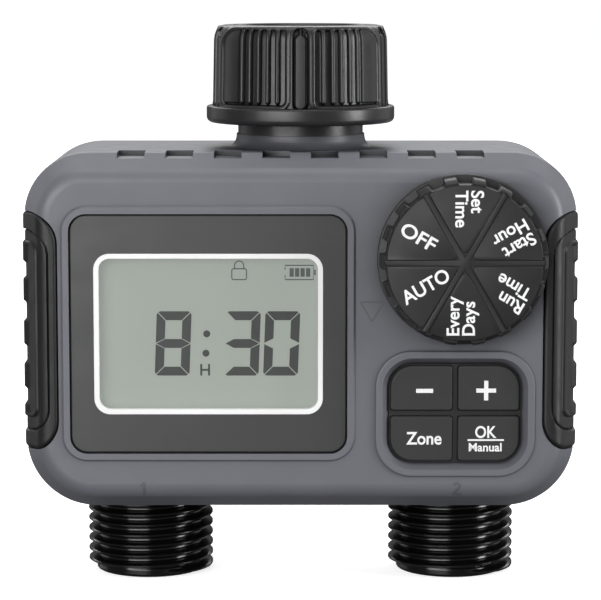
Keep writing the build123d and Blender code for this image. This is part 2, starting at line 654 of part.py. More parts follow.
def inlet_filter():
    """A domed strainer that hangs in the inlet bore from a thin rim under the washer."""
    wall = TAIL_BORE_R - 0.3
    rim = tube(TAIL_BORE_R + 1.6, wall - 0.8, -WASHER_T - 0.55, -WASHER_T)
    basket = tube(wall, wall - 0.8, -WASHER_T - 9, -WASHER_T)
    basket += upright(wall, -WASHER_T - 9.8, -WASHER_T - 9)
    for n in range(12):
        basket -= Rot(0, 0, 30 * n) * block(-0.9, 0.9, -wall - 1, -wall + 2, -WASHER_T - 8, -WASHER_T - 2)
    for row in range(-2, 3):
        for column in range(-2, 3):
            basket -= upright(0.8, -WASHER_T - 11, -WASHER_T - 8, row * 2.6, column * 2.6)
    return rim + basket


def inlet_tailpiece():
    """The flanged tube that carries the nut and presses into the neck."""
    tail = tube(TAIL_R, TAIL_BORE_R, TAIL_BOTTOM, -WASHER_T)
    tail += tube(TAIL_FLANGE_R, TAIL_BORE_R, -WASHER_T - TAIL_FLANGE_T, -WASHER_T)
    return tail - upright(TAIL_BORE_R + 1.7, -WASHER_T - 0.6, 0)


def inlet_neck():
    neck = spun([(TAIL_R, NECK_TOP), (NECK_R - 0.3, NECK_TOP), (NECK_R, NECK_TOP - 0.3), (NECK_R, COLLAR_TOP),
                 (NECK_SPIGOT_R, COLLAR_TOP), (NECK_SPIGOT_R, NECK_BOTTOM), (TAIL_BORE_R, NECK_BOTTOM),
                 (TAIL_BORE_R, TAIL_BOTTOM), (TAIL_R, TAIL_BOTTOM)])
    return neck - tube(NECK_SPIGOT_R + 1, NECK_SPIGOT_R - 0.8, -20.9, -19.9)


def inlet_o_ring():
    return o_ring(NECK_SPIGOT_R - 0.36, 0.39, -20.4)


def inlet_manifold():
    """The tee inside the housing: a socket for the neck, a downpipe and an arm to each valve."""
    top = TOP - WALL - 0.2
    pipe_top = SOCKET_BOTTOM - 4
    bore_r = NECK_SPIGOT_R + RUNNING_GAP
    bore_z = NECK_BOTTOM - 0.1
    body = spun([(bore_r, top), (SOCKET_R, top), (SOCKET_R, SOCKET_BOTTOM), (PIPE_R, pipe_top),
                 (PIPE_R, ARM_Z - 2), (0, ARM_Z - 2), (0, ARM_Z), (PIPE_BORE_R, ARM_Z),
                 (PIPE_BORE_R, pipe_top), (TAIL_BORE_R, bore_z), (bore_r, bore_z)])
    body += crossbar(PIPE_R, -ARM_END_X, ARM_END_X, 0, ARM_Z)
    body -= crossbar(PIPE_BORE_R, -ARM_END_X - 1, ARM_END_X + 1, 0, ARM_Z)
    return body - upright(PIPE_BORE_R, ARM_Z, pipe_top)


# ---------------------------------------------------------------- valves
def ears(x, z_low, z_high, hole_r):
    """Four screw ears round a valve, and the holes in them."""
    lugs, holes = Part(), Part()
    for place in ear_places(x):
        lugs += upright(EAR_R, z_low, z_high, *place)
        holes += upright(hole_r, z_low - 1, z_high + 1, *place)
    return lugs, holes


def ear_places(x):
    return [(x + i * EAR_OFFSET, j * EAR_OFFSET) for i in (-1, 1) for j in (-1, 1)]


def outlet_spigot(x):
    """A hose outlet that plugs into the bottom of a valve."""
    lead_r = MALE_ROOT_R - 0.3
    shoulder_z = VALVE_BOTTOM - 0.1
    end_z = OUTLET_BOTTOM
    spigot = spun([(OUTLET_BORE_R, end_z), (lead_r - 0.6, end_z), (lead_r, end_z + 0.6), (lead_r, end_z + 1.4),
                   (MALE_ROOT_R, end_z + 1.7), (MALE_ROOT_R, shoulder_z), (PLUG_R, shoulder_z),
                   (PLUG_R, PLUG_TOP), (OUTLET_BORE_R, PLUG_TOP)], x)
    for n in range(OUTLET_RIDGES):
        spigot += ridge(MALE_ROOT_R - 0.1, MALE_CREST_R, LAST_RIDGE_Z + n * PITCH, x)
    return spigot - tube(PLUG_R + 1, PLUG_R - 0.8, -85.3, -84.3, x)


def outlet_o_ring(x):
    return o_ring(PLUG_R - 0.36, 0.39, -84.8, x)


def valve_body(x):
    """A cup with a seat tube in the middle, a socket below and a port for the manifold's arm."""
    socket_r, socket_top = PLUG_R + 0.08, VALVE_FLOOR - 2
    cup_r = VALVE_R - VALVE_WALL
    body = spun([(SEAT_BORE_R, socket_top), (socket_r, socket_top), (socket_r, VALVE_BOTTOM),
                 (VALVE_R, VALVE_BOTTOM), (VALVE_R, VALVE_TOP), (cup_r, VALVE_TOP), (cup_r, VALVE_FLOOR),
                 (SEAT_R, VALVE_FLOOR), (SEAT_R, SEAT_TOP), (SEAT_BORE_R, SEAT_TOP)], x)
    lugs, holes = ears(x, VALVE_TOP - 6, VALVE_TOP, 1.0)
    body += lugs - upright(VALVE_R - 0.5, VALVE_TOP - 7, VALVE_TOP + 1, x)
    body -= holes
    side = -1 if x > 0 else 1
    low_x, high_x = sorted((x, x + side * (VALVE_R + 1)))
    wall = tube(VALVE_R + 1, SEAT_R + 1, VALVE_BOTTOM, VALVE_TOP, x)
    return body - (crossbar(PIPE_R + RUNNING_GAP, low_x, high_x, 0, ARM_Z) & wall)


def diaphragm(x):
    """The rubber disc that parts the water from the bonnet, clamped round the poppet's stud."""
    return tube(VALVE_R, STUD_R, VALVE_TOP, BONNET_BASE, x)


def poppet(x):
    """The disc that closes on the seat, riveted through the diaphragm to a backing plate."""
    disc = upright(POPPET_R, SEAT_TOP + 0.1, VALVE_TOP, x)
    disc = fillet(disc.edges().group_by(Axis.Z)[0], 0.6)
    stud = upright(STUD_R, VALVE_TOP - 0.1, BONNET_BASE + 0.1, x)
    return disc + stud + upright(POPPET_R - 1.2, BONNET_BASE, BONNET_BASE + 1, x)


def bonnet(x):
    """The lid over the diaphragm, with the plunger's guide tube on top."""
    chamber_r, chamber_top = VALVE_R - 2.7, BONNET_DECK - 2.2
    slide_r, slide_top = PLUNGER_R + RUNNING_GAP, GUIDE_TOP - GUIDE_CAP
    lid = spun([(0, chamber_top), (chamber_r, chamber_top), (chamber_r, BONNET_BASE), (VALVE_R, BONNET_BASE),
                (VALVE_R, BONNET_DECK - 1), (VALVE_R - 1, BONNET_DECK), (GUIDE_R, BONNET_DECK),
                (GUIDE_R, GUIDE_TOP), (0, GUIDE_TOP), (0, slide_top), (slide_r, slide_top),
                (slide_r, BONNET_DECK), (0, BONNET_DECK)], x)
    lugs, holes = ears(x, BONNET_BASE, BONNET_BASE + 3, 1.0)
    lid += lugs - upright(VALVE_R - 0.5, BONNET_BASE - 1, BONNET_BASE + 4, x)
    for place in ear_places(x):
        lid -= upright(2.05, BONNET_BASE + 3, BONNET_DECK + 1, *place)
    return lid - holes - upright(0.8, BONNET_DECK - 3, BONNET_DECK + 1, x)


def bonnet_screws():
    group = []
    for x in (-OUTLET_X, OUTLET_X):
        for place in ear_places(x):
            head = upright(1.9, BONNET_BASE + 3, BONNET_BASE + 4.4, *place)
            head = fillet(head.edges().group_by(Axis.Z)[-1], 0.4)
            group.append(head + upright(0.95, VALVE_TOP - 5, BONNET_BASE + 3.1, *place))
    return Compound(children=group)


def plunger(x):
    rod = upright(PLUNGER_R, BONNET_DECK + 0.1, PLUNGER_TOP, x)
    rod = chamfer(rod.edges().group_by(Axis.Z)[-1], 0.4)
    return chamfer(rod.edges().group_by(Axis.Z)[0], 0.8)


def plunger_spring(x):
    room = GUIDE_TOP - GUIDE_CAP - PLUNGER_TOP
    return Pos(x, 0, PLUNGER_TOP + 0.4) * coil_spring(2.6, 0.32, room - 0.8, 3)


def solenoid_coil(x):
    bobbin = tube(COIL_R, GUIDE_R + 0.1, COIL_BOTTOM, COIL_TOP, x)
    return bobbin - tube(COIL_R + 1, COIL_R - COIL_WALL, COIL_BOTTOM + 1.2, COIL_TOP - 1.2, x)


def solenoid_yoke(x):
    """The steel frame round the coil."""
    half_w = COIL_R + 0.3
    low, high = COIL_BOTTOM - 0.1, COIL_TOP + 0.1
    outer = block(x - half_w - YOKE_T, x + half_w + YOKE_T, -6, 6, low - YOKE_T, high + YOKE_T)
    loop = outer - block(x - half_w, x + half_w, -7, 7, low, high)
    return loop - upright(GUIDE_R + 0.1, low - 3, high + 3, x)


def valve_leads():
    """Two wires from each coil to the circuit board."""
    wires = []
    for side in (-1, 1):
        for x in (side * OUTLET_X - 3, side * OUTLET_X + 3):
            wires.append(peg(WIRE_R, COIL_WALL - COIL_R, BOARD_BACK_Y, x, COIL_TOP - 4))
    return Compound(children=wires)


# ---------------------------------------------------------------- batteries
def battery_cells():
    """Two round cells side by side, one each way up."""
    cells = []
    for side in (-1, 1):
        body = upright(CELL_R, 0.9, CELL_L - 1.2) + upright(2.7, CELL_L - 1.3, CELL_L) + upright(4.6, 0.4, 1)
        body = Pos(0, 0, -CELL_L / 2) * body
        if side < 0:
            middle = WELL_TOP - CONTACT_T - CELL_L / 2
        else:
            body = Rot(180, 0, 0) * body
            middle = WELL_BOTTOM + CONTACT_T + CELL_L / 2
        cells.append(Pos(side * CELL_X, CELL_Y, middle) * body)
    return Compound(children=cells)


def battery_springs():
    """The springs under the cells' flat ends."""
    room = WELL_TOP - WELL_BOTTOM - 2 * CONTACT_T - CELL_L
    lower = Pos(-CELL_X, CELL_Y, WELL_BOTTOM + CONTACT_T + 0.4) * coil_spring(3.6, 0.4, room - 0.5, 3)
    upper = Pos(CELL_X, CELL_Y, WELL_TOP - CONTACT_T - room + 0.1) * coil_spring(3.6, 0.4, room - 0.5, 3)
    return Compound(children=[lower, upper])


def battery_contacts():
    """A joining plate at the bottom, and two plates with tags at the top."""
    y_low, y_high = WELL_FLOOR_Y + 0.6, DOOR_BACK_Y - 3.2
    plates = [block(0.5 - WELL_X, WELL_X - 0.5, y_low, y_high, WELL_BOTTOM, WELL_BOTTOM + CONTACT_T)]
    for side in (-1, 1):
        low_x, high_x = sorted((side * 1.2, side * (WELL_X - 0.5)))
        tag_x = side * TAG_X
        plate = block(low_x, high_x, y_low, y_high, WELL_TOP - CONTACT_T, WELL_TOP)
        plate += block(tag_x - 1.2, tag_x + 1.2, TAG_END_Y, y_low + 1, WELL_TOP - CONTACT_T, WELL_TOP)
        plates.append(plate)
    return Compound(children=plates)


def knuckle_span(n):
    step = (KNUCKLE_TOP - KNUCKLE_BOTTOM) / KNUCKLES
    return KNUCKLE_BOTTOM + n * step + 0.1, KNUCKLE_BOTTOM + (n + 1) * step - 0.1


def knuckle(n):
    low, high = knuckle_span(n)
    return upright(HINGE_R, low, high, HINGE_X, HINGE_Y)


def battery_door():
    door = block(-DOOR_X, DOOR_X, DOOR_BACK_Y, DOOR_REAR_Y, DOOR_BOTTOM, DOOR_TOP)
    door = fillet(door.edges().filter_by(Axis.Y).group_by(Axis.X)[-1], 2.0)
    door = chamfer(door.edges().group_by(Axis.Y)[-1], 0.3)
    for n in range(1, KNUCKLES, 2):
        low, high = knuckle_span(n)
        door += block(HINGE_X, -DOOR_X + 1, HINGE_Y - 0.8, HINGE_Y + 0.55, low, high)
        door += knuckle(n)
    door -= upright(HINGE_PIN_R + RUNNING_GAP, -99, 0, HINGE_X, HINGE_Y)
    for n in range(4):
        z = (DOOR_TOP + DOOR_BOTTOM) / 2 - 4.5 + 3 * n
        door += block(DOOR_X - 5, DOOR_X - 1.5, DOOR_REAR_Y - 0.2, DOOR_REAR_Y + 0.5, z - 0.5, z + 0.5)
    return door


def door_seal():
    low_x, high_x = WELL_X + 0.3 + SEAL_W, WELL_X + 0.3
    top, bottom = WELL_TOP + 0.3, WELL_BOTTOM - 0.3
    outer = block(-low_x, low_x, DOOR_BACK_Y - SEAL_T, DOOR_BACK_Y, bottom - SEAL_W, top + SEAL_W)
    return outer - block(-high_x, high_x, 0, 40, bottom, top)


def door_hinge_pin():
    pin = upright(HINGE_PIN_R, KNUCKLE_BOTTOM + 0.1, KNUCKLE_TOP - 0.1, HINGE_X, HINGE_Y)
    return chamfer(pin.edges().filter_by(GeomType.CIRCLE), 0.2)


def build():
    envelope = front_envelope()
    grip_floor = front_envelope(-GRIP_DEPTH)
    grip = right_grip(grip_floor)
    parts = {
        "front_shell": front_shell(envelope, grip_floor),
        "rear_shell": rear_shell(),
        "housing_gasket": gasket_ring(0, SPLIT_Y + 0.55, SPLIT_Y - 0.55),
        "housing_screws": housing_screws(),
        "right_grip": grip,
        "left_grip": mirror(grip, Plane.YZ),
        "display_bezel": display_bezel(),
        "display_frame": display_frame(),
        "display_window": display_window(),
        "lcd_panel": lcd_panel(),
        "lcd_connector": lcd_connector(),
        "main_pcb": main_pcb(),
        "board_screws": board_screws(),
        "battery_leads": battery_leads(),
        "mode_dial": mode_dial(),
        "dial_shaft": dial_shaft(),
        "dial_o_ring": dial_o_ring(),
        "rotary_switch": rotary_switch(),
        "keypad_web": keypad_web(),
        "minus_key": key(-1, 1),
        "plus_key": key(1, 1),
        "zone_key": key(-1, -1),
        "ok_key": key(1, -1),
        "key_switches": key_switches(),
        "inlet_nut": inlet_nut(),
        "hose_washer": hose_washer(),
        "inlet_filter": inlet_filter(),
        "inlet_tailpiece": inlet_tailpiece(),
        "inlet_neck": inlet_neck(),
        "inlet_o_ring": inlet_o_ring(),
        "inlet_manifold": inlet_manifold(),
        "bonnet_screws": bonnet_screws(),
        "valve_leads": valve_leads(),
        "battery_cells": battery_cells(),
        "battery_springs": battery_springs(),
        "battery_contacts": battery_contacts(),
        "battery_door": battery_door(),
        "door_seal": door_seal(),
        "door_hinge_pin": door_hinge_pin(),
    }
    makers = [outlet_spigot, outlet_o_ring, valve_body, diaphragm, poppet, bonnet, plunger, plunger_spring,
              solenoid_coil, solenoid_yoke]
    for maker in makers:
        for number, x in ((1, -OUTLET_X), (2, OUTLET_X)):
            parts[f"{maker.__name__}_{number}"] = maker(x)
    return parts


if __name__ == "__main__":
    os.makedirs("parts", exist_ok=True)
    for name, shape in build().items():
        export_step(shape, f"parts/{name}.step")
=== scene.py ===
import math

import bmesh
import bpy
import numpy as np
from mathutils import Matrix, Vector


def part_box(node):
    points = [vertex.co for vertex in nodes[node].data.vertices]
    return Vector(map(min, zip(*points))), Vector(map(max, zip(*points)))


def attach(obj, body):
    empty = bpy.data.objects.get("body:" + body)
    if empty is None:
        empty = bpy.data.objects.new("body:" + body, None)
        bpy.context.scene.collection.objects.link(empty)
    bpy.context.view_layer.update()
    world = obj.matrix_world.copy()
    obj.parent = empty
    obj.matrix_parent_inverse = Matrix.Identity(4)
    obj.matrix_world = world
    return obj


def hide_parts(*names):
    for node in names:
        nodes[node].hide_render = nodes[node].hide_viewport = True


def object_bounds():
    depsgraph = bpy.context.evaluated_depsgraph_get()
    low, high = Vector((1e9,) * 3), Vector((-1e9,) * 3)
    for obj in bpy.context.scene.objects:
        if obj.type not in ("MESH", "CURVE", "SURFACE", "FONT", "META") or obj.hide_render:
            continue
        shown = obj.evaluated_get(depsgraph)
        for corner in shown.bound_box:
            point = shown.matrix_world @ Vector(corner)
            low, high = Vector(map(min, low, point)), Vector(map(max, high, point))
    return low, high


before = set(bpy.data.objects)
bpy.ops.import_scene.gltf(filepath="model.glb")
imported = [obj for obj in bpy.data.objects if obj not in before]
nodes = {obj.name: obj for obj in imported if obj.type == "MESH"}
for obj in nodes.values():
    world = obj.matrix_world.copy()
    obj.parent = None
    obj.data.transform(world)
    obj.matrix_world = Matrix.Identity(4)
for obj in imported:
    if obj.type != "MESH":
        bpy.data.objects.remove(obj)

cad_low, cad_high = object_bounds()

# The looks of a two-outlet irrigation timer. Sizes are in millimetres, and MM turns them into
# Blender's metres. +Z is up, the front face looks towards -Y, and the origin is the middle of the
# sealing face in the tap socket.
MM = 0.001


def box(node):
    """A CAD node's lowest and highest corners in millimetres."""
    low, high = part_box(node)
    return low / MM, high / MM


def middle(node):
    low, high = box(node)
    return (low + high) / 2


# ---- places and sizes read from the frame ----
NUT_LOW, NUT_HIGH = box("inlet_nut")
SHELL_LOW, SHELL_HIGH = box("front_shell")
DIAL_LOW, DIAL_HIGH = box("mode_dial")
DIAL_X, DIAL_Z = middle("dial_shaft").x, middle("dial_shaft").z
PANEL = middle("display_bezel")
LCD_FRONT_Y = box("lcd_panel")[0].y
WEB = middle("keypad_web")
KEY_FRONT_Y = box("ok_key")[0].y
GRIP_LOW, GRIP_HIGH = box("right_grip")
OUTLET_X = middle("outlet_spigot_2").x
VALVE_BOTTOM = box("valve_body_1")[0].z

# ---- materials ----
PATTERN_RANGE = (0.3, 0.7)  # where most of a noise or wave pattern's values lie
CELL_BAND_H = 14.0  # height of the coloured band at the upper end of each cell

# ---- lettering ----
CAP_RATIO = 0.682  # height of a capital in the built-in font, as a share of the text size
BOLD = 0.02  # how far the letters' outlines are pushed outwards, as a share of the text size

# ---- threads ----
PITCH = 25.4 / 11.5
MALE_CREST_R = 13.45
MALE_ROOT_R = 12.1
GROOVE_R = 11.35
THREAD_STEPS = 14  # points on a thread's profile in each pitch
FEMALE_CREST_R = 12.25
FEMALE_ROOT_R = 13.6
CREST_HALF = 0.26
FLANK_W = 0.55
THREAD_FADE = 0.25  # height over which a thread fades out at its ends
THREAD_PHASE = 0.9  # turns by which the outlet threads' crests are shifted

# ---- outlets ----
OUTLET_BORE_R = 9.2
PLUG_R = 10.4
LEAD_R = 11.7
SEAL_GROOVE_HIGH = -84.3
SEAL_GROOVE_LOW = -85.3
SEAL_GROOVE_DEPTH = 0.8
LIP_ROUND = 0.5
BORE_ROUND = 0.4
BORE_POINT_Z = -95.0  # a level at which the straight bore has a row of points
OUTLET_NECK_Z = -89.0  # where the plain neck above the thread ends
OUTLET_THREAD_TOP = -90.2

# ---- nut ----
NUT_TURNS = 5  # the pattern of slots and windows repeats this often
NUT_TOP = NUT_HIGH.z
NUT_BOTTOM = NUT_LOW.z - 0.4
FLANGE_R = NUT_HIGH.x
FLANGE_TOP = -6.55
BARREL_R = 18.4
RIM_R = 16.6
WINDOW_HALF_ANGLE = 26.6
WINDOW_LOW = -6.1
WINDOW_HIGH = 9.75
WINDOW_CORNERS = (1.3, 0.8, 4.2)  # radii of the low corners, the inner and the outer top corner
SHOULDER_Z = 7.0
BEAD_W = 0.75
RIB_ANGLES = (15.3, 22.0, 28.7, 35.4, 42.1)
RIB_HALF_W = 0.58
RAISED_FLOOR_ANGLE = 44.9  # the angle from which a window's floor is raised
NUT_HOLE_R = box("inlet_tailpiece")[1].x - 2.2
NUT_SEAT_R = box("hose_washer")[1].x + 0.3
NUT_SEAT_Z = -5.45
FLANGE_INNER_R = 14.0
FLANGE_LOW_ROUND = 1.2
FLANGE_HIGH_ROUND = 0.5
STRAIGHT_LOW = -3.4  # between these two levels the barrel's pattern runs straight up
STRAIGHT_HIGH = 6.4
# half width, middle height, half height and corner radius
SLOT_SHAPE = (1.68, 1.55, 8.55, 1.4)
BAR_SHAPE = (1.27, 1.0, 7.7, 1.05)
PIN_SHAPE = (0.32, 9.3, 0.75, 0.3)
# how high or deep the parts of the pattern are
BEAD_H = 0.22
WINDOW_DEPTH = 0.75
RIB_H = 0.8
RAISED_FLOOR_H = 0.5
SLOT_DEPTH = 0.95
BAR_H = 0.85
PIN_H = 0.6

# ---- housing ----
WIDTH = SHELL_HIGH.x - SHELL_LOW.x
FRONT_Y = -26.0
FACE_BLEND_R = 3.5
BEVEL_INSET = 3.8
CREASE_Y = -19.6
TOP = -15.35
BOTTOM = -89.4
TOP_CORNER = 13.2
BOTTOM_CORNER = 14.5
BEVEL_TURN = math.atan2(CREASE_Y - FRONT_Y, BEVEL_INSET)
BLEND_CENTRE_INSET = BEVEL_INSET + FACE_BLEND_R * math.tan(BEVEL_TURN / 2)
OUTLET_MARK_Z = BOTTOM + 3.3
OUTLET_MARK_H = 2.85

# ---- dial ----
DIAL_FACE_Y = DIAL_LOW.y
DIAL_BACK_Y = FRONT_Y - 0.55
DIAL_BASE_R = DIAL_HIGH.x - DIAL_X
DIAL_FACE_R = DIAL_BASE_R - 1.2
LAND_R = 17.0
POCKET_R = 15.8
POCKET_STEP = 20
SECTOR_R = 15.75
SECTOR_H = 0.5
SPOKE_HALF_W = 0.53
SPOKE_GAP = 0.12
TIP_R = 1.1
HUB_R = 4.0
SHAFT_HOLE_R = 3.02
SEAL_R = 3.2
HOLLOW_R = 15.4  # the room behind the dial's face, which widens towards the back
HOLLOW_BACK_R = 15.8
LABEL_START = 14.7
LABEL_CAP = 2.6
TITLE_CAP = 2.85
PRINT_DEPTH = 0.05
PRINT_PROUD = 0.04

# ---- display ----
DIGIT_W = 7.2
DIGIT_H = 13.43
DIGIT_STROKE = 1.86
DIGIT_LEAN = 0.038
COLON_R = 0.73
INK_HALF = 0.05  # half the thickness of the display's segments
ICON_LINE = 0.24
CELL_LINE = 0.26

# ---- keys ----
SIGN_ARM = 2.05
SIGN_HALF_W = 0.425

# ---- grips ----
GRIP_INNER_X = GRIP_LOW.x
GRIP_BACK_Y = GRIP_HIGH.y
GRIP_CREASE_Q = WIDTH / 2 - GRIP_INNER_X
GRIP_SPAN = GRIP_CREASE_Q + GRIP_BACK_Y - CREASE_Y
GRIP_CORNER = 6.5
GRIP_ROOT_DEPTH = 1.15
GRIP_EDGE_FOOT = 0.5  # depth at which the rolled edge starts
GRIP_EDGE_H = 0.8
GRIP_EDGE_W = 0.7
GRIP_FIELD_DROP = 0.38  # from the rolled edge to the field inside it
GRIP_FIELD_GROOVE = 0.26
GRIP_ISLAND_H = 0.42  # the raised island within the field, and its sunken middle
GRIP_ISLAND_DISH = 0.34
GRIP_RIB_H = 0.62
GRIP_RIB_FOOT = 0.22
# the upper and lower end of each rib
GRIP_RIBS = ((-33.5, -37.9), (-41.2, -46.2), (-50.1, -55.3), (-59.0, -64.3), (-67.6, -70.2))

# ---- camera ----
CAMERA_TILT = math.radians(7.2)
CAMERA_DISTANCE = 559.6
CAMERA_LENS = 155.7
AIM_Z = -48.5
LAMP_AIM_Z = -48.0


# ======== numbers and outlines
def ramp(x, low, high):
    """0 below low, 1 above high, with a smooth rise between."""
    t = np.clip((x - low) / (high - low), 0.0, 1.0)
    return t * t * (3 - 2 * t)


def band(x, low, high, soft):
    """1 between low and high, falling to 0 over a distance soft at each side."""
    return ramp(x, low - soft / 2, low + soft / 2) * (1 - ramp(x, high - soft / 2, high + soft / 2))


def stations(marks, spacing):
    """Values that pass through every mark, no further apart than spacing."""
    values = [marks[0]]
    for low, high in zip(marks, marks[1:]):
        count = max(1, math.ceil(abs(high - low) / spacing))
        values.extend(low + (high - low) * k / count for k in range(1, count + 1))
    return np.array(values)


def arc(centre, radius, start, end, steps):
    """Points on an arc from one angle to another, in degrees from outwards to up."""
    turns = [math.radians(start + (end - start) * k / steps) for k in range(steps + 1)]
    return [(centre[0] + radius * math.cos(t), centre[1] + radius * math.sin(t)) for t in turns]


def box_distance(x, z, centre, half, radius):
    """Signed distance from points to a rounded rectangle, negative inside."""
    qx = np.abs(x - centre[0]) - half[0] + radius
    qz = np.abs(z - centre[1]) - half[1] + radius
    outside = np.hypot(np.maximum(qx, 0), np.maximum(qz, 0))
    return outside + np.minimum(np.maximum(qx, qz), 0) - radius


def rounded_outline(corners, radius, steps=6):
    """A closed outline through the corners, with each corner turned into an arc."""
    points = []
    count = len(corners)
    for k in range(count):
        before, here, after = (Vector(corners[(k + d) % count]) for d in (-1, 0, 1))
        arrive, leave = (before - here).normalized(), (after - here).normalized()
        reach = radius / math.tan(arrive.angle(leave) / 2)
        start, end = here + arrive * reach, here + leave * reach
        for step in range(steps + 1):
            t = step / steps
            points.append(start * (1 - t) ** 2 + here * (2 * t * (1 - t)) + end * t ** 2)
    return points


# ======== meshes
def new_object(name, data):
    """A new object, linked to the scene."""
    thing = bpy.data.objects.new(name, data)
    bpy.context.scene.collection.objects.link(thing)
    return thing


def mesh_piece(name, points, faces, sharp_angle=35.0, weld=False):
    """A smooth-shaded mesh object from points in millimetres, with hard edges where faces turn sharply."""
    mesh = bpy.data.meshes.new(name)
    mesh.from_pydata([tuple(c * MM for c in p) for p in points], [], faces)
    shape = bmesh.new()
    shape.from_mesh(mesh)
    if weld:
        bmesh.ops.remove_doubles(shape, verts=shape.verts, dist=1e-7)
    bmesh.ops.recalc_face_normals(shape, faces=list(shape.faces))
    shape.to_mesh(mesh)
    shape.free()
    mesh.shade_smooth()
    mesh.set_sharp_from_angle(angle=math.radians(sharp_angle))
    return new_object(name, mesh)


def finish_piece(piece, body, material, replaced=()):
    """Gives a piece its material and the body it moves with, and hides the CAD nodes it replaces."""
    piece.data.materials.clear()
    piece.data.materials.append(material)
    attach(piece, body)
    if replaced:
        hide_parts(*replaced)
    return piece


def grid_faces(rows, columns, close_rows=False, close_columns=False):
    """Quads over a rows x columns grid of points, optionally closed in either direction."""
    faces = []
    for i in range(rows if close_rows else rows - 1):
        for j in range(columns if close_columns else columns - 1):
            i2, j2 = (i + 1) % rows, (j + 1) % columns
            faces.append((i * columns + j, i2 * columns + j, i2 * columns + j2, i * columns + j2))
    return faces


def turned_piece(name, angles, parts, axis_x):
    """A solid turned about an upright axis, from parts that each hold a radius and a height at each angle
    (rows) and profile point. The angles run from 0 to 360, and the two ends are welded.
    """
    radius, z = (np.concatenate(arrays, axis=1) for arrays in zip(*parts))
    turn = np.radians(angles)[:, None]
    x = axis_x + radius * np.sin(turn)
    y = -radius * np.cos(turn)
    points = np.stack([x, y, z], axis=-1).reshape(-1, 3)
    rows, columns = radius.shape
    return mesh_piece(name, points.tolist(), grid_faces(rows, columns, False, True), weld=True)


def plate(outline, back_y, front_y, bevel, layers=3):
    """Points and faces of a flat piece facing the front, with its front edge rounded over."""
    count = len(outline)
    flat = [Vector((p[0], p[1])) for p in outline]
    area = sum(a.x * b.y - b.x * a.y for a, b in zip(flat, flat[1:] + flat[:1]))
    if area < 0:
        flat.reverse()
    normals = []
    for k in range(count):
        edge = flat[(k + 1) % count] - flat[k - 1]
        normals.append(Vector((edge.y, -edge.x)).normalized())
    rings = [(0.0, back_y)]
    if bevel > 0:
        for layer in range(layers + 1):
            turn = math.pi / 2 * layer / layers
            rings.append((bevel * (1 - math.cos(turn)), front_y + bevel * (1 - math.sin(turn))))
    else:
        rings.append((0.0, front_y))
    points = []
    for inset, y in rings:
        points.extend((p.x - n.x * inset, y, p.y - n.y * inset) for p, n in zip(flat, normals))
    faces = [tuple(range(count))]
    for ring in range(len(rings) - 1):
        for k in range(count):
            k2 = (k + 1) % count
            low, high = ring * count, (ring + 1) * count
            faces.append((low + k, high + k, high + k2, low + k2))
    last = (len(rings) - 1) * count
    faces.append(tuple(last + k for k in reversed(range(count))))
    return points, faces


def joined(parts):
    """Several (points, faces) lists as one."""
    points, faces = [], []
    for some_points, some_faces in parts:
        offset = len(points)
        points.extend(some_points)
        faces.extend(tuple(v + offset for v in face) for face in some_faces)
    return points, faces


def composed(name, parts, body, material, sharp_angle=35.0):
    """A finished piece made of several (points, faces) lists."""
    points, faces = joined(parts)
    return finish_piece(mesh_piece(name, points, faces, sharp_angle), body, material)


def turned_in_plane(outline, degrees, shift=(0.0, 0.0)):
    """An outline turned about the origin and then shifted."""
    c, s = math.cos(math.radians(degrees)), math.sin(math.radians(degrees))
    return [(p[0] * c - p[1] * s + shift[0], p[0] * s + p[1] * c + shift[1]) for p in outline]


def bar(x, z, width, height):
    """The outline of an upright rectangle about a centre."""
    w, h = width / 2, height / 2
    return [(x - w, z - h), (x + w, z - h), (x + w, z + h), (x - w, z + h)]


def lettering(text, width, cap, thickness):
    """Points and faces of bold lettering that starts at the origin and stands up towards -Y."""
    curve = bpy.data.curves.new("lettering", "FONT")
    curve.body = text
    curve.size = 1.0
    curve.offset = BOLD
    curve.resolution_u = 5
    holder = new_object("lettering", curve)
    bpy.context.view_layer.update()
    mesh = bpy.data.meshes.new_from_object(holder.evaluated_get(bpy.context.evaluated_depsgraph_get()))
    flat = bmesh.new()
    flat.from_mesh(mesh)
    bmesh.ops.remove_doubles(flat, verts=flat.verts, dist=1e-5)
    co = np.array([v.co for v in flat.verts])
    left, right = co[:, 0].min(), co[:, 0].max()
    scale_z = cap / (CAP_RATIO + 2 * BOLD)
    scale_x = width / (right - left) if width else scale_z
    for v in flat.verts:
        v.co = Vector(((v.co.x - left) * scale_x, 0.0, v.co.y * scale_z))
    grown = bmesh.ops.extrude_face_region(flat, geom=list(flat.faces))
    for v in grown["geom"]:
        if isinstance(v, bmesh.types.BMVert):
            v.co.y -= thickness
    bmesh.ops.recalc_face_normals(flat, faces=list(flat.faces))
    flat.verts.index_update()
    points = [tuple(v.co) for v in flat.verts]
    faces = [tuple(v.index for v in f.verts) for f in flat.faces]
    flat.free()
    bpy.data.objects.remove(holder)
    bpy.data.meshes.remove(mesh)
    bpy.data.curves.remove(curve)
    return points, faces


# ======== materials
def srgb(red, green, blue):
    """A colour given as display levels from 0 to 255."""
    levels = [c / 255 for c in (red, green, blue)]
    linear = [c / 12.92 if c <= 0.04045 else ((c + 0.055) / 1.055) ** 2.4 for c in levels]
    return (*linear, 1.0)


def feed(tree, node, inputs):
    """Sets some of a node's inputs, each to a value or to another node's output."""
    for name, value in inputs.items():
        if isinstance(value, bpy.types.NodeSocket):
            tree.links.new(value, node.inputs[name])
        else:
            node.inputs[name].default_value = value


def add(tree, kind, inputs=None, **settings):
    """A new shader node with its settings and inputs."""
    node = tree.nodes.new("ShaderNode" + kind)
    for name, value in settings.items():
        setattr(node, name, value)
    feed(tree, node, inputs or {})
    return node


def object_place(tree):
    return add(tree, "TexCoord").outputs["Object"]


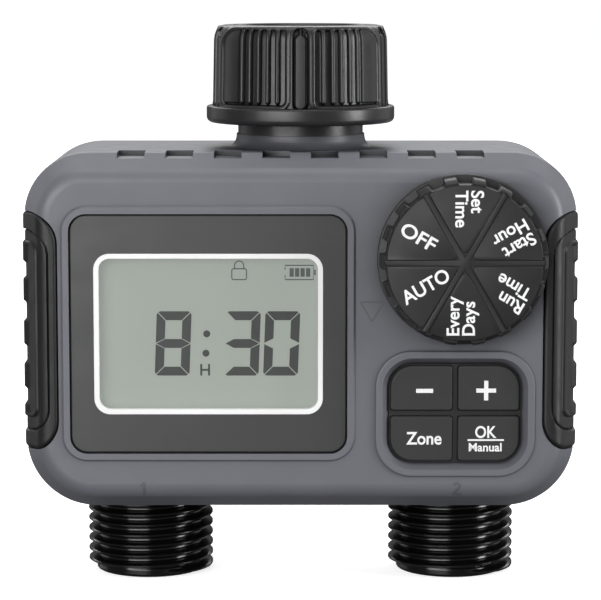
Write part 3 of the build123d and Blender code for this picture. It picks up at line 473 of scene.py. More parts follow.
def mapped(tree, value, source, target=(0.0, 1.0)):
    """A value moved from one range into another."""
    ranges = {"From Min": source[0], "From Max": source[1], "To Min": target[0], "To Max": target[1]}
    return add(tree, "MapRange", {"Value": value, **ranges}).outputs["Result"]


def spread(tree, pattern, low, high):
    """A pattern's usual range moved into the range from low to high."""
    return mapped(tree, pattern, PATTERN_RANGE, (low, high))


def mixed(tree, factor, first, second, **settings):
    """Two colours mixed by a factor."""
    inputs = {"Factor": factor, "A": first, "B": second}
    return add(tree, "Mix", inputs, data_type="RGBA", **settings).outputs["Result"]


def product(tree, first, second):
    return add(tree, "Math", {0: first, 1: second}, operation="MULTIPLY").outputs["Value"]


def noise(tree, size_mm, detail=2.0, stretch=(1, 1, 1)):
    """A noise pattern fixed to the object, with features about size_mm across."""
    scale = [s / (size_mm * MM) for s in stretch]
    scaling = add(tree, "Mapping", {"Vector": object_place(tree), "Scale": scale})
    inputs = {"Vector": scaling.outputs["Vector"], "Scale": 1.0, "Detail": detail}
    return add(tree, "TexNoise", inputs).outputs["Fac"]


def tinted(tree, colour, pattern, amount):
    """A colour varied by a share of its brightness."""
    dark = [c * (1 - amount) for c in colour[:3]] + [1.0]
    light = [min(1.0, c * (1 + amount)) for c in colour[:3]] + [1.0]
    return mixed(tree, spread(tree, pattern, 0.0, 1.0), dark, light)


def edge_mask(tree, radius_mm):
    """A value that is 0 on flat areas and rises towards 1 within radius_mm of a hard edge."""
    normal = add(tree, "NewGeometry").outputs["Normal"]
    rounded = add(tree, "Bevel", {"Radius": radius_mm * MM}, samples=4).outputs["Normal"]
    alike = add(tree, "VectorMath", {0: normal, 1: rounded}, operation="DOT_PRODUCT").outputs["Value"]
    return mapped(tree, alike, (0.995, 0.80))


def worn_edges(tree, base, lightened, amount):
    """Edges rubbed a little lighter, broken up by noise."""
    patchy = spread(tree, noise(tree, 3.0, 4.0), 0.2, 1.0)
    share = product(tree, product(tree, edge_mask(tree, 0.35), patchy), amount)
    return mixed(tree, share, base, lightened)


def painted_hollow_shade(tree, base, darkest, reach_mm):
    """A colour darkened by painted shade inside grooves and pockets, and with a long reach also by painted
    shadow near other pieces.
    """
    near_only = reach_mm < 3
    inputs = {"Distance": reach_mm * MM}
    openness = add(tree, "AmbientOcclusion", inputs, samples=8, only_local=near_only).outputs["AO"]
    shade = mapped(tree, openness, (0.45, 0.95), (darkest, 1.0))
    return mixed(tree, 1.0, base, shade, blend_type="MULTIPLY")


def relief(tree, pattern, depth_mm, round_mm=0.0):
    """A normal that follows a pattern, with hard edges softened by round_mm."""
    inputs = {"Strength": 1.0, "Distance": depth_mm * MM, "Height": pattern}
    if round_mm > 0:
        inputs["Normal"] = add(tree, "Bevel", {"Radius": round_mm * MM}, samples=4).outputs["Normal"]
    return add(tree, "Bump", inputs).outputs["Normal"]


def surface(name, colour, roughness, metallic=0.0, specular=0.5):
    """A new material, set to one colour and roughness, with its node tree and its shader."""
    material = bpy.data.materials.new(name)
    material.use_nodes = True
    material.diffuse_color = colour
    tree = material.node_tree
    shader = tree.nodes["Principled BSDF"]
    feed(tree, shader, {"Base Color": colour, "Roughness": roughness, "Metallic": metallic,
                        "Specular IOR Level": specular})
    return material, tree, shader


def plastic(name, colour, roughness, grain_mm=0.35, depth_mm=0.006, worn=0.25, specular=0.5, round_mm=0.0,
            glow=0.0, hollows=1.0, reach_mm=1.5):
    """Moulded plastic or rubber: spark-eroded grain, slight mottling, rubbed edges, painted shade in its
    hollows when hollows is below 1, and a painted glow when glow is above 0.
    """
    material, tree, shader = surface(name, colour, roughness, specular=specular)
    base = tinted(tree, colour, noise(tree, 9.0, 3.0), 0.035)
    if worn > 0:
        lightened = [min(1.0, c * 1.5 + 0.01) for c in colour[:3]] + [1.0]
        base = worn_edges(tree, base, lightened, worn)
    # painted shade: the colour darkens in grooves and pockets, where shade falls
    if hollows < 1:
        base = painted_hollow_shade(tree, base, hollows, reach_mm)
    rubbed = spread(tree, noise(tree, 4.0, 3.0), roughness - 0.04, roughness + 0.05)
    grain = relief(tree, noise(tree, grain_mm), depth_mm, round_mm)
    # a glow above 0 is painted light
    feed(tree, shader, {"Base Color": base, "Emission Color": colour, "Emission Strength": glow,
                        "Roughness": rubbed, "Normal": grain})
    return material


def metal(name, colour, roughness):
    """Drawn metal with fine upright lines."""
    material, tree, shader = surface(name, colour, roughness, metallic=1.0)
    lines = noise(tree, 0.5, 3.0, (1, 1, 8))
    feed(tree, shader, {"Base Color": tinted(tree, colour, noise(tree, 3.0), 0.08),
                        "Roughness": spread(tree, lines, roughness - 0.08, roughness + 0.12),
                        "Normal": relief(tree, lines, 0.004)})
    return material


def lens_material():
    """A clear window: nearly all of the light passes, with a soft reflection off its outer face."""
    material, tree, shader = surface("clear_lens", srgb(250, 252, 250), 0.06)
    feed(tree, shader, {"Roughness": spread(tree, noise(tree, 12.0), 0.04, 0.10)})
    clear = add(tree, "BsdfTransparent", {"Color": srgb(252, 253, 252)})
    reflected = add(tree, "Fresnel", {"IOR": 1.35}).outputs["Fac"]
    inner_face = add(tree, "NewGeometry").outputs["Backfacing"]
    share = add(tree, "Mix", {"Factor": inner_face, "A": reflected, "B": 0.0}).outputs["Result"]
    both = add(tree, "MixShader", {"Fac": share, 1: clear.outputs["BSDF"], 2: shader.outputs["BSDF"]})
    feed(tree, tree.nodes["Material Output"], {"Surface": both.outputs["Shader"]})
    return material


def lcd_material():
    """Display glass: an even grey green, with a painted glow that lifts it and hides the shade of its
    recess.
    """
    colour = srgb(116, 120, 115)
    material, tree, shader = surface("lcd_glass", colour, 0.55, specular=0.3)
    # painted light: the emission brightens the glass and evens out the shade at its recessed edges
    feed(tree, shader, {"Emission Color": srgb(164, 169, 163), "Emission Strength": 0.63,
                        "Base Color": tinted(tree, colour, noise(tree, 14.0, 1.0), 0.02),
                        "Normal": relief(tree, noise(tree, 0.2, 1.0), 0.002)})
    return material


def board_material():
    """Green solder mask over copper tracks."""
    mask, copper = srgb(18, 74, 44), srgb(30, 104, 62)
    material, tree, shader = surface("circuit_board", mask, 0.35)
    turn = add(tree, "Mapping", {"Vector": object_place(tree), "Rotation": (math.radians(90), 0, 0),
                                 "Scale": (240, 240, 240)})
    tracks = add(tree, "TexBrick", {"Vector": turn.outputs["Vector"], "Color1": mask, "Color2": mask,
                                    "Mortar": copper, "Mortar Size": 0.06})
    feed(tree, shader, {"Base Color": tracks.outputs["Color"],
                        "Normal": relief(tree, tracks.outputs["Fac"], 0.02)})
    return material


def winding_material():
    """Enamelled copper wire in close turns."""
    colour = srgb(176, 92, 48)
    material, tree, shader = surface("coil_winding", colour, 0.3, metallic=0.8)
    inputs = {"Vector": object_place(tree), "Scale": 700, "Distortion": 0.6}
    turns = add(tree, "TexWave", inputs, bands_direction="Z").outputs["Fac"]
    # the tint follows the turns: darker in the gaps between them as painted shade and lighter on their
    # crests as painted light
    feed(tree, shader, {"Base Color": tinted(tree, colour, turns, 0.25),
                        "Normal": relief(tree, turns, 0.15)})
    return material


def jacket_material():
    """Plain cell jackets: a pale green end band over a grey sleeve."""
    sleeve, end = srgb(122, 126, 130), srgb(96, 142, 112)
    material, tree, shader = surface("cell_jacket", sleeve, 0.3)
    height = add(tree, "SeparateXYZ", {"Vector": object_place(tree)}).outputs["Z"]
    band_low = (box("battery_cells")[1].z - CELL_BAND_H) * MM
    above = add(tree, "Math", {0: height, 1: band_low}, operation="GREATER_THAN").outputs["Value"]
    feed(tree, shader, {"Base Color": mixed(tree, above, sleeve, end),
                        "Normal": relief(tree, noise(tree, 1.0), 0.01)})
    return material


CAD_MATERIALS = [
    # the housing's hollow shading is painted shadow that also reaches near other pieces, such as the collar
    # under the nut; the black rubber gets painted shade in its grooves
    plastic("housing_plastic", srgb(113, 114, 121), 0.42, worn=0.15, round_mm=0.12, hollows=0.3,
            reach_mm=7.0),
    plastic("black_rubber", srgb(27, 27, 28), 0.48, grain_mm=0.5, depth_mm=0.008, hollows=0.3),
    plastic("bezel_plastic", srgb(64, 64, 64), 0.34, depth_mm=0.003, worn=0.1, round_mm=0.1),
    # painted light: a slight glow lifts the white ring around the display
    plastic("light_ring", srgb(252, 252, 251), 0.4, depth_mm=0.002, worn=0.0, glow=0.1),
    lens_material(),
    lcd_material(),
    board_material(),
    plastic("black_plastic", srgb(40, 40, 41), 0.36, depth_mm=0.004),
    plastic("key_rubber", srgb(51, 51, 51), 0.6, grain_mm=0.3, depth_mm=0.005, worn=0.15),
    plastic("valve_plastic", srgb(205, 205, 198), 0.4),
    plastic("strainer_plastic", srgb(190, 192, 190), 0.45),
    metal("steel", srgb(196, 198, 200), 0.28),
    winding_material(),
    plastic("wire_insulation", srgb(150, 28, 24), 0.4),
    jacket_material(),
]
MATERIALS = {material.name.split(".")[0]: material for material in CAD_MATERIALS}
THREAD_PLASTIC = plastic("thread_plastic", srgb(13, 13, 14), 0.2, depth_mm=0.002, worn=0.1)
# the nut and the dial get strong painted shade in their grooves and pockets
NUT_PLASTIC = plastic("nut_plastic", srgb(42, 42, 43), 0.34, depth_mm=0.0015, worn=0.1, hollows=0.15)
DIAL_PLASTIC = plastic("dial_plastic", srgb(37, 37, 37), 0.5, 0.3, 0.004, worn=0.15, hollows=0.2)
SPOKE_PLASTIC = plastic("spoke_plastic", srgb(36, 36, 36), 0.5, 0.3, 0.004, worn=0.1)
# painted light: a slight glow lifts the white print
PRINT_WHITE = plastic("print_white", srgb(252, 252, 252), 0.5, depth_mm=0.001, worn=0.0, glow=0.1)
LCD_DARK = plastic("lcd_segments", srgb(64, 66, 66), 0.5, depth_mm=0.001, worn=0.0)
LCD_ICON = plastic("lcd_icons", srgb(92, 96, 94), 0.5, depth_mm=0.001, worn=0.0)
# painted shade: marks moulded into the housing are drawn darker than it, for the shade in their engraved
# lines
MARK_SHADE = plastic("moulded_mark", srgb(95, 97, 103), 0.5, depth_mm=0.004, worn=0.0)


def dress_cad_nodes():
    """Gives each CAD node the material named by its slot."""
    for node in nodes.values():
        for place in node.material_slots:
            label = place.material.name.split(".")[0] if place.material else ""
            found = [material for name, material in MATERIALS.items() if label.startswith(name)]
            place.material = found[0] if found else MATERIALS["black_plastic"]


# ======== threads and the hand nut
def thread_height(angle, z, low, high, offset=0.0):
    """0 at the root and 1 on the crest of a right-hand thread that fades out at low and high."""
    turns = z / PITCH - angle / 360 - offset
    nearest = np.round(turns)
    away = np.abs(turns - nearest) * PITCH
    crest_z = PITCH * (nearest + angle / 360 + offset)
    fade = ramp(crest_z, low, low + THREAD_FADE) * (1 - ramp(crest_z, high - THREAD_FADE, high))
    return np.clip((CREST_HALF + FLANK_W - away) / FLANK_W, 0, 1) * fade


def thread_rows(angles, low, high, offset, steps):
    """Heights at each angle that follow the thread's helix and stop at two levels."""
    turns = np.arange(math.floor(low / PITCH) - 2, math.ceil(high / PITCH) + 1, 1 / steps)
    return np.clip(PITCH * (turns[None, :] + offset + angles[:, None] / 360), low, high)


def level_rows(angles, profile):
    """Radius and height at each angle for profile points that are the same all round."""
    rows = np.ones((len(angles), 1))
    radius, height = np.array(profile).T
    return radius[None, :] * rows, height[None, :] * rows


def window_distance(across, z):
    """Signed distance to the outline of one of the nut's windows, with its larger outer top corner."""
    half_w = math.radians(WINDOW_HALF_ANGLE) * BARREL_R
    centre_z, half_h = (WINDOW_LOW + WINDOW_HIGH) / 2, (WINDOW_HIGH - WINDOW_LOW) / 2
    low, near, far = (box_distance(across, z, (0, centre_z), (half_w, half_h), r) for r in WINDOW_CORNERS)
    return np.where(z > centre_z, np.where(across > 0, far, near), low)


def rib_height(across, z, ribs):
    """How much of a row of upright ribs stands at a place across the window."""
    height = np.zeros(np.broadcast(across, z).shape)
    for place in ribs:
        side = np.abs(across - place)
        foot = WINDOW_LOW + 0.4 + RIB_HALF_W
        away = np.hypot(side, np.minimum(z - foot, 0))
        height = np.maximum(height, np.sqrt(np.clip(1 - (away / RIB_HALF_W) ** 2, 0, 1)))
    return height


def nut_relief(angle, z):
    """How far the nut's side stands out at an angle from the front and a height."""
    turn = np.abs((angle + 180) % 360 - 180)
    period = 360 / NUT_TURNS
    degree = math.radians(BARREL_R)  # the length of one degree on the barrel
    across = (turn % period - period / 2) * degree
    window = window_distance(across, z)
    front_ribs = [(a - period / 2) * degree for a in RIB_ANGLES]
    back_ribs = [-k * (RIB_ANGLES[1] - RIB_ANGLES[0]) * degree for k in range(4)]
    ribs = np.where(turn > 2 * period, rib_height(across, z, back_ribs), rib_height(across, z, front_ribs))
    inside = 1 - ramp(window, -0.35, 0.0)
    bead = band(window, 0.12, BEAD_W, 0.28)
    panel_low = (RAISED_FLOOR_ANGLE - period / 2) * degree
    panel = ramp(across, panel_low, panel_low + 0.35) * ramp(z, WINDOW_LOW + 0.55, WINDOW_LOW + 0.8)
    panel = panel * (turn < 2 * period)
    standing = RIB_H * ribs + RAISED_FLOOR_H * panel * (1 - ribs)
    relief = BEAD_H * bead - WINDOW_DEPTH * inside + inside * standing
    # the slot between two windows, with a bar standing in it and a small pin above the bar
    from_slot = np.minimum(turn % period, period - turn % period) * degree
    slot, bar_shape, pin = (box_distance(from_slot, z, (0, centre), (half_w, half_h), corner)
                            for half_w, centre, half_h, corner in (SLOT_SHAPE, BAR_SHAPE, PIN_SHAPE))
    relief += -SLOT_DEPTH * (1 - ramp(slot, -0.3, 0.05))
    relief += BAR_H * (1 - ramp(bar_shape, -0.3, 0.05)) + PIN_H * (1 - ramp(pin, -0.15, 0.1))
    return relief


def inlet_nut():
    """The hand nut: flange, patterned barrel and the tap thread inside."""
    flange = [(NUT_HOLE_R, NUT_BOTTOM), (FLANGE_INNER_R, NUT_BOTTOM)]
    low_centre = (FLANGE_R - FLANGE_LOW_ROUND, NUT_BOTTOM + FLANGE_LOW_ROUND)
    high_centre = (FLANGE_R - FLANGE_HIGH_ROUND, FLANGE_TOP - FLANGE_HIGH_ROUND)
    flange += arc(low_centre, FLANGE_LOW_ROUND, -90, 0, 6) + arc(high_centre, FLANGE_HIGH_ROUND, 0, 90, 5)
    flange += [(BARREL_R + 0.55, FLANGE_TOP + 0.03)]
    side_z = stations([FLANGE_TOP + 0.12, STRAIGHT_LOW], 0.14).tolist()
    side_z += stations([STRAIGHT_LOW, STRAIGHT_HIGH], 1.6).tolist()[1:]
    side_z += stations([STRAIGHT_HIGH, NUT_TOP - 0.22], 0.15).tolist()[1:]
    rim = [(RIM_R - 0.1, NUT_TOP - 0.1), (RIM_R - 0.35, NUT_TOP), (FEMALE_ROOT_R + 0.7, NUT_TOP),
           (FEMALE_ROOT_R + 0.1, NUT_TOP - 0.6)]
    inside = [(NUT_SEAT_R, -0.65), (NUT_SEAT_R, NUT_SEAT_Z), (NUT_HOLE_R, NUT_SEAT_Z),
              (NUT_HOLE_R, (NUT_SEAT_Z + NUT_BOTTOM) / 2)]
    angles = np.arange(0, 360.1, 0.5)
    side = np.array(side_z)[None, :] * np.ones((len(angles), 1))
    shoulder = np.clip((side - SHOULDER_Z) / (NUT_TOP + 0.05 - SHOULDER_Z), 0, 1)
    base = BARREL_R - 0.1 + 0.02 * (9 - side) - (BARREL_R - RIM_R) * (1 - np.sqrt(1 - shoulder ** 2))
    barrel = base + nut_relief(angles[:, None], side)
    helix = thread_rows(angles, -0.55, NUT_TOP - 0.9, 0.0, 8)[:, ::-1]
    tap = thread_height(angles[:, None], helix, -0.2, NUT_TOP - 1.0)
    tap = FEMALE_ROOT_R - (FEMALE_ROOT_R - FEMALE_CREST_R) * tap
    parts = [level_rows(angles, flange), (barrel, side), level_rows(angles, rim), (tap, helix),
             level_rows(angles, inside)]
    nut = turned_piece("inlet_nut_moulding", angles, parts, 0.0)
    return finish_piece(nut, "inlet_nut", NUT_PLASTIC, ["inlet_nut"])


def outlet(number, x):
    """A hose outlet with its helical thread."""
    node = f"outlet_spigot_{number}"
    low, high = box(node)
    groove_r = PLUG_R - SEAL_GROOVE_DEPTH
    shoulder_z = VALVE_BOTTOM - 0.1
    outside = [(OUTLET_BORE_R, high.z), (PLUG_R, high.z), (PLUG_R, SEAL_GROOVE_HIGH),
               (groove_r, SEAL_GROOVE_HIGH), (groove_r, SEAL_GROOVE_LOW), (PLUG_R, SEAL_GROOVE_LOW),
               (PLUG_R, shoulder_z), (MALE_ROOT_R, shoulder_z), (MALE_ROOT_R, OUTLET_NECK_Z)]
    lead = [(LEAD_R, low.z + 0.65)]
    lead += arc((LEAD_R - LIP_ROUND, low.z + LIP_ROUND), LIP_ROUND, 0, -90, 4)
    bore = arc((OUTLET_BORE_R + BORE_ROUND, low.z + BORE_ROUND), BORE_ROUND, -90, -180, 4)
    bore += [(OUTLET_BORE_R, BORE_POINT_Z)]
    angles = np.arange(0, 360.1, 2)
    helix = thread_rows(angles, low.z + 0.75, OUTLET_NECK_Z - 0.1, THREAD_PHASE, THREAD_STEPS)[:, ::-1]
    thread = thread_height(angles[:, None], helix, low.z + 0.62, OUTLET_THREAD_TOP, THREAD_PHASE)
    root_r = GROOVE_R + (LEAD_R - GROOVE_R) * (1 - ramp(helix, low.z + 1.6, low.z + 2.2))
    thread = root_r + (MALE_CREST_R - root_r) * thread
    parts = [level_rows(angles, outside), (thread, helix), level_rows(angles, lead + bore)]
    piece = turned_piece(f"outlet_thread_{number}", angles, parts, x)
    return finish_piece(piece, "root", THREAD_PLASTIC, [node])


# ======== dial
def turned_front(name, angles, radius, depth, centre):
    """A solid turned about a front-to-back axis; angle 0 points towards +X and 90 upwards."""
    turn = np.radians(angles)[:, None]
    x = centre[0] + radius * np.cos(turn)
    z = centre[1] + radius * np.sin(turn)
    y = np.broadcast_to(depth, radius.shape)
    points = np.stack([x, y, z], axis=-1).reshape(-1, 3)
    rows, columns = radius.shape
    return mesh_piece(name, points.tolist(), grid_faces(rows, columns, True, False), weld=True)


def from_nearest(angles, step):
    """The angle from each value to the nearest multiple of step."""
    return np.abs((angles + step / 2) % step - step / 2)


def dial_body():
    """The dial's skirt with its hand pockets, its sunken face and its hub."""
    angles = np.arange(0, 360, 0.5)
    plain = np.ones(len(angles))
    land = 1 - ramp(from_nearest(angles, POCKET_STEP), 4.0, 5.7)
    from_pocket = from_nearest(angles + POCKET_STEP / 2, POCKET_STEP)
    chord = POCKET_R / np.cos(np.radians(from_pocket))
    back_y, bore_end = DIAL_BACK_Y, DIAL_FACE_Y + 2.0
    seal_back, seal_front = FRONT_Y + 1.7, FRONT_Y + 0.7
    profile = [(0, bore_end), (SHAFT_HOLE_R, bore_end), (SHAFT_HOLE_R, DIAL_HIGH.y), (HUB_R, DIAL_HIGH.y),
               (HUB_R, seal_back), (SEAL_R, seal_back), (SEAL_R, seal_front), (HUB_R, seal_front),
               (HUB_R, bore_end - 0.4), (HOLLOW_R, bore_end - 0.4), (HOLLOW_BACK_R, back_y),
               (DIAL_BASE_R - 0.15, back_y), (DIAL_BASE_R, back_y - 0.15),
               (DIAL_BASE_R, back_y - 1.05), (DIAL_BASE_R - 0.12, back_y - 1.25)]
    columns = [(r * plain, y) for r, y in profile]

    def side(y, land_r, pocket_r):
        columns.append((land * land_r + (1 - land) * pocket_r, y))

    side(back_y - 1.3, LAND_R + 0.12, LAND_R + 0.12)
    side(back_y - 1.6, LAND_R, chord + 0.12)
    side(back_y - 1.75, LAND_R, chord)
    side(back_y - 4.0, LAND_R, chord)
    side(DIAL_FACE_Y + 1.3, LAND_R - 0.05, chord)
    side(DIAL_FACE_Y + 1.05, LAND_R - 0.17, chord)
    side(DIAL_FACE_Y + 0.25, DIAL_FACE_R + 0.14, chord)
    side(DIAL_FACE_Y + 0.12, DIAL_FACE_R, chord - 0.1)
    columns.append((columns[-1][0] - 0.2, DIAL_FACE_Y + 0.12))
    columns.append((columns[-1][0] - 0.05, DIAL_FACE_Y + SECTOR_H))
    columns.append((0 * plain, DIAL_FACE_Y + SECTOR_H))
    radius = np.stack([c[0] for c in columns], axis=1)
    depth = np.array([y for _, y in columns])[None, :]
    body = turned_front("dial_moulding", angles, radius, depth, (DIAL_X, DIAL_Z))
    finish_piece(body, "mode_dial", DIAL_PLASTIC, ["mode_dial"])


def sector_outline():
    """One raised sector of the dial's face, pointing upwards, about the dial's axis."""
    half_angle = math.radians(30)
    side = SPOKE_HALF_W + SPOKE_GAP
    tip = side / math.sin(half_angle)
    # the sides run parallel to the spokes, so the sector's outer corners lie inside the 60 degrees
    corner = 30 - math.degrees(math.asin(side / SECTOR_R))
    rim = arc((0, 0), SECTOR_R, 90 + corner, 90 - corner, 36)
    reach = TIP_R / math.tan(half_angle)
    left = (-reach * math.sin(half_angle), tip + reach * math.cos(half_angle))
    right = (-left[0], left[1])
    rounding = []
    for k in range(1, 8):
        t = k / 8
        x = right[0] * (1 - t) ** 2 + left[0] * t ** 2
        z = right[1] * (1 - t) ** 2 + tip * 2 * t * (1 - t) + left[1] * t ** 2
        rounding.append((x, z))
    return rim + [right] + rounding + [left]


def dial_face():
    """The six sector plates and the star of spokes between them."""
    sectors = []
    for k in range(6):
        outline = turned_in_plane(sector_outline(), 60 * k, (DIAL_X, DIAL_Z))
        sectors.append(plate(outline, DIAL_FACE_Y + SECTOR_H + 0.1, DIAL_FACE_Y, 0.14))
    composed("dial_sectors", sectors, "mode_dial", DIAL_PLASTIC, 50)

    star = []
    notch = SPOKE_HALF_W / math.sin(math.radians(30))
    for k in range(6):
        arm = [(DIAL_FACE_R - 0.05, -SPOKE_HALF_W), (DIAL_FACE_R - 0.05, SPOKE_HALF_W)]
        star += turned_in_plane(arm, 60 * k)
        star += turned_in_plane([(notch, 0)], 60 * k + 30)
    star = [(x + DIAL_X, z + DIAL_Z) for x, z in star]
    spokes = plate(star, DIAL_FACE_Y + SECTOR_H + 0.1, DIAL_FACE_Y + 0.12, 0.08)
    composed("dial_spokes", [spokes], "mode_dial", SPOKE_PLASTIC, 50)


def put_text(text, width, cap, place, degrees, y, centred=True):
    """Lettering turned in the front view and set at a place, by its middle or by its baseline's start."""
    points, faces = lettering(text, width, cap, PRINT_DEPTH + PRINT_PROUD)
    if centred:
        right = max(p[0] for p in points)
        points = [(p[0] - right / 2, p[1], p[2] - cap / 2) for p in points]
    flat = turned_in_plane([(p[0], p[2]) for p in points], degrees, place)
    return [(f[0], y + PRINT_DEPTH + p[1], f[1]) for f, p in zip(flat, points)], faces


def dial_lettering():
    """Short generic labels that read inwards along the middle of each sector."""
    parts = []
    for text, sector, rho, width in [("AUTO", 210, 9.3, 10.5), ("OFF", 150, 10.8, 7.7)]:
        turn = math.radians(sector)
        place = (DIAL_X + rho * math.cos(turn), DIAL_Z + rho * math.sin(turn))
        parts.append(put_text(text, width, TITLE_CAP, place, sector - 180, DIAL_FACE_Y))
    pairs = [("Set", "Time", 90), ("Start", "Hour", 30), ("Run", "Time", 330), ("Every", "Days", 270)]
    for first, second, sector in pairs:
        turn = math.radians(sector)
        along, up = (-math.cos(turn), -math.sin(turn)), (math.sin(turn), -math.cos(turn))
        for text, baseline in [(first, 1.15), (second, -2.0)]:
            place = [c - LABEL_START * a + baseline * u for c, a, u in zip((DIAL_X, DIAL_Z), along, up)]
            parts.append(put_text(text, None, LABEL_CAP, place, sector - 180, DIAL_FACE_Y, centred=False))
    composed("dial_lettering", parts, "mode_dial", PRINT_WHITE)


def key_legends():
    """A generic sign or word on each of the four keys."""
    def place(dx, dz):
        return (WEB.x + dx, WEB.z + dz)

    def strip(dx, dz, width, height):
        return plate(bar(*place(dx, dz), width, height), KEY_FRONT_Y + 0.1, KEY_FRONT_Y - PRINT_PROUD, 0)

    arm = [(SIGN_HALF_W, SIGN_HALF_W), (SIGN_HALF_W, SIGN_ARM), (-SIGN_HALF_W, SIGN_ARM)]
    plus = [point for k in range(4) for point in turned_in_plane(arm, 90 * k, place(6.4, 4.8))]
    legends = {
        "minus_key": [strip(-6.3, 4.75, 3.5, 2 * SIGN_HALF_W)],
        "plus_key": [plate(plus, KEY_FRONT_Y + 0.1, KEY_FRONT_Y - PRINT_PROUD, 0)],
        "zone_key": [put_text("Zone", 7.3, 2.65, place(-6.4, -5.1), 0, KEY_FRONT_Y)],
        "ok_key": [put_text("OK", 4.4, 2.5, place(6.4, -3.8), 0, KEY_FRONT_Y), strip(6.4, -5.55, 7.5, 0.36),
                   put_text("Manual", 6.8, 1.77, place(6.3, -7.0), 0, KEY_FRONT_Y)],
    }
    for key, parts in legends.items():
        composed(f"{key}_legend", parts, key, PRINT_WHITE)


# ======== display
def ribbon(path, width, back_y, front_y, closed=False):
    """Points and faces of a flat strip along a path in the front view."""
    count = len(path)
    points = []
    for k in range(count):
        before = path[(k - 1) % count] if closed or k > 0 else path[k]
        after = path[(k + 1) % count] if closed or k < count - 1 else path[k]
        along = (Vector(after) - Vector(before)).normalized()
        out = Vector((-along.y, along.x)) * width / 2
        here = Vector(path[k])
        points += [(here.x + out.x, back_y, here.y + out.y), (here.x + out.x, front_y, here.y + out.y),
                   (here.x - out.x, front_y, here.y - out.y), (here.x - out.x, back_y, here.y - out.y)]
    faces = grid_faces(count, 4, closed, True)
    if not closed:
        faces += [(0, 1, 2, 3), tuple((count - 1) * 4 + k for k in (3, 2, 1, 0))]
    return points, faces


def ink(outline):
    """A thin dark shape just proud of the display's glass."""
    return plate(outline, LCD_FRONT_Y + INK_HALF, LCD_FRONT_Y - INK_HALF, 0)


def ink_line(path, width, closed=False):
    return ribbon(path, width, LCD_FRONT_Y + INK_HALF, LCD_FRONT_Y - INK_HALF, closed)


def digit_segments(lit):
    """The outlines of one seven-segment digit, with mitred joints and rounded corners."""
    w, h, t, gap, cut = DIGIT_W, DIGIT_H, DIGIT_STROKE, 0.13, 0.7
    nick = cut * 0.3
    mid = h / 2
    top = [(nick + gap, h - nick), (cut, h), (w - cut, h), (w - nick - gap, h - nick), (w - t - gap, h - t),
           (t + gap, h - t)]
    upper_left = [(0, h - cut), (nick, h - nick - gap), (t, h - t - gap), (t, mid + t / 2 + gap),
                  (0, mid + gap)]
    bar_middle = [(gap, mid), (t, mid + t / 2), (w - t, mid + t / 2), (w - gap, mid), (w - t, mid - t / 2),
                  (t, mid - t / 2)]
    upper_right = [(w - x, z) for x, z in upper_left]
    shapes = {"a": top, "b": upper_right, "f": upper_left, "g": bar_middle}
    for lower, upper in ("da", "cb", "ef"):
        shapes[lower] = [(x, h - z) for x, z in shapes[upper]]
    return [shapes[name] for name in lit]


def display_digits():
    """The time on the display, thin dark segments just proud of the glass."""
    parts = []
    base_z = PANEL.z - 9.05
    for lit, left in [("abcdefg", -11.25), ("abcdg", 3.05), ("abcdef", 11.2)]:
        for outline in digit_segments(lit):
            leaned = [(PANEL.x + left + x + z * DIGIT_LEAN, base_z + z) for x, z in outline]
            parts.append(ink(leaned))
    for dx, dz in [(-0.44, 8.73), (-0.62, 4.68)]:
        parts.append(ink(arc((PANEL.x + dx, base_z + dz), COLON_R, 0, 345, 23)))
    letter = [(0, 0), (0.42, 0), (0.42, 1.0), (1.62, 1.0), (1.62, 0), (2.04, 0), (2.04, 2.41), (1.62, 2.41),
              (1.62, 1.4), (0.42, 1.4), (0.42, 2.41), (0, 2.41)]
    parts.append(ink([(PANEL.x - 1.82 + x, base_z + z) for x, z in letter]))
    composed("display_time", parts, "root", LCD_DARK)


def display_icons():
    """A padlock and a full battery at the top of the display."""
    lock_x, lock_z = PANEL.x + 6.3, PANEL.z + 12.1
    body = rounded_outline(bar(lock_x, lock_z, 3.05, 2.25), 0.45)
    parts = [ink_line(body, ICON_LINE, True)]
    shackle = [(lock_x - 0.95, lock_z + 1.1), (lock_x - 0.95, lock_z + 1.7)]
    shackle += [(lock_x - 0.95 * math.cos(a), lock_z + 1.75 + 0.98 * math.sin(a))
                for a in np.linspace(0, math.pi, 13)]
    shackle += [(lock_x + 0.95, lock_z + 1.7), (lock_x + 0.95, lock_z + 1.1)]
    parts.append(ink_line(shackle, ICON_LINE))
    cell_x, cell_z, cell_w, cell_h = PANEL.x + 18.7, PANEL.z + 12.45, 5.85, 2.95
    left, right = cell_x - cell_w / 2, cell_x + cell_w / 2
    low, high = cell_z - cell_h / 2, cell_z + cell_h / 2
    case = [(left, cell_z + 0.55), (left, high), (right, high), (right, low), (left, low),
            (left, cell_z - 0.55)]
    parts.append(ink_line(case, CELL_LINE))
    parts.append(ink(bar(right + 0.3, cell_z, 0.34, 1.1)))
    for k in range(4):
        parts.append(ink(bar(left + 1.35 + 1.13 * k, cell_z, 0.88, 1.78)))
    composed("display_icons", parts, "root", LCD_ICON)


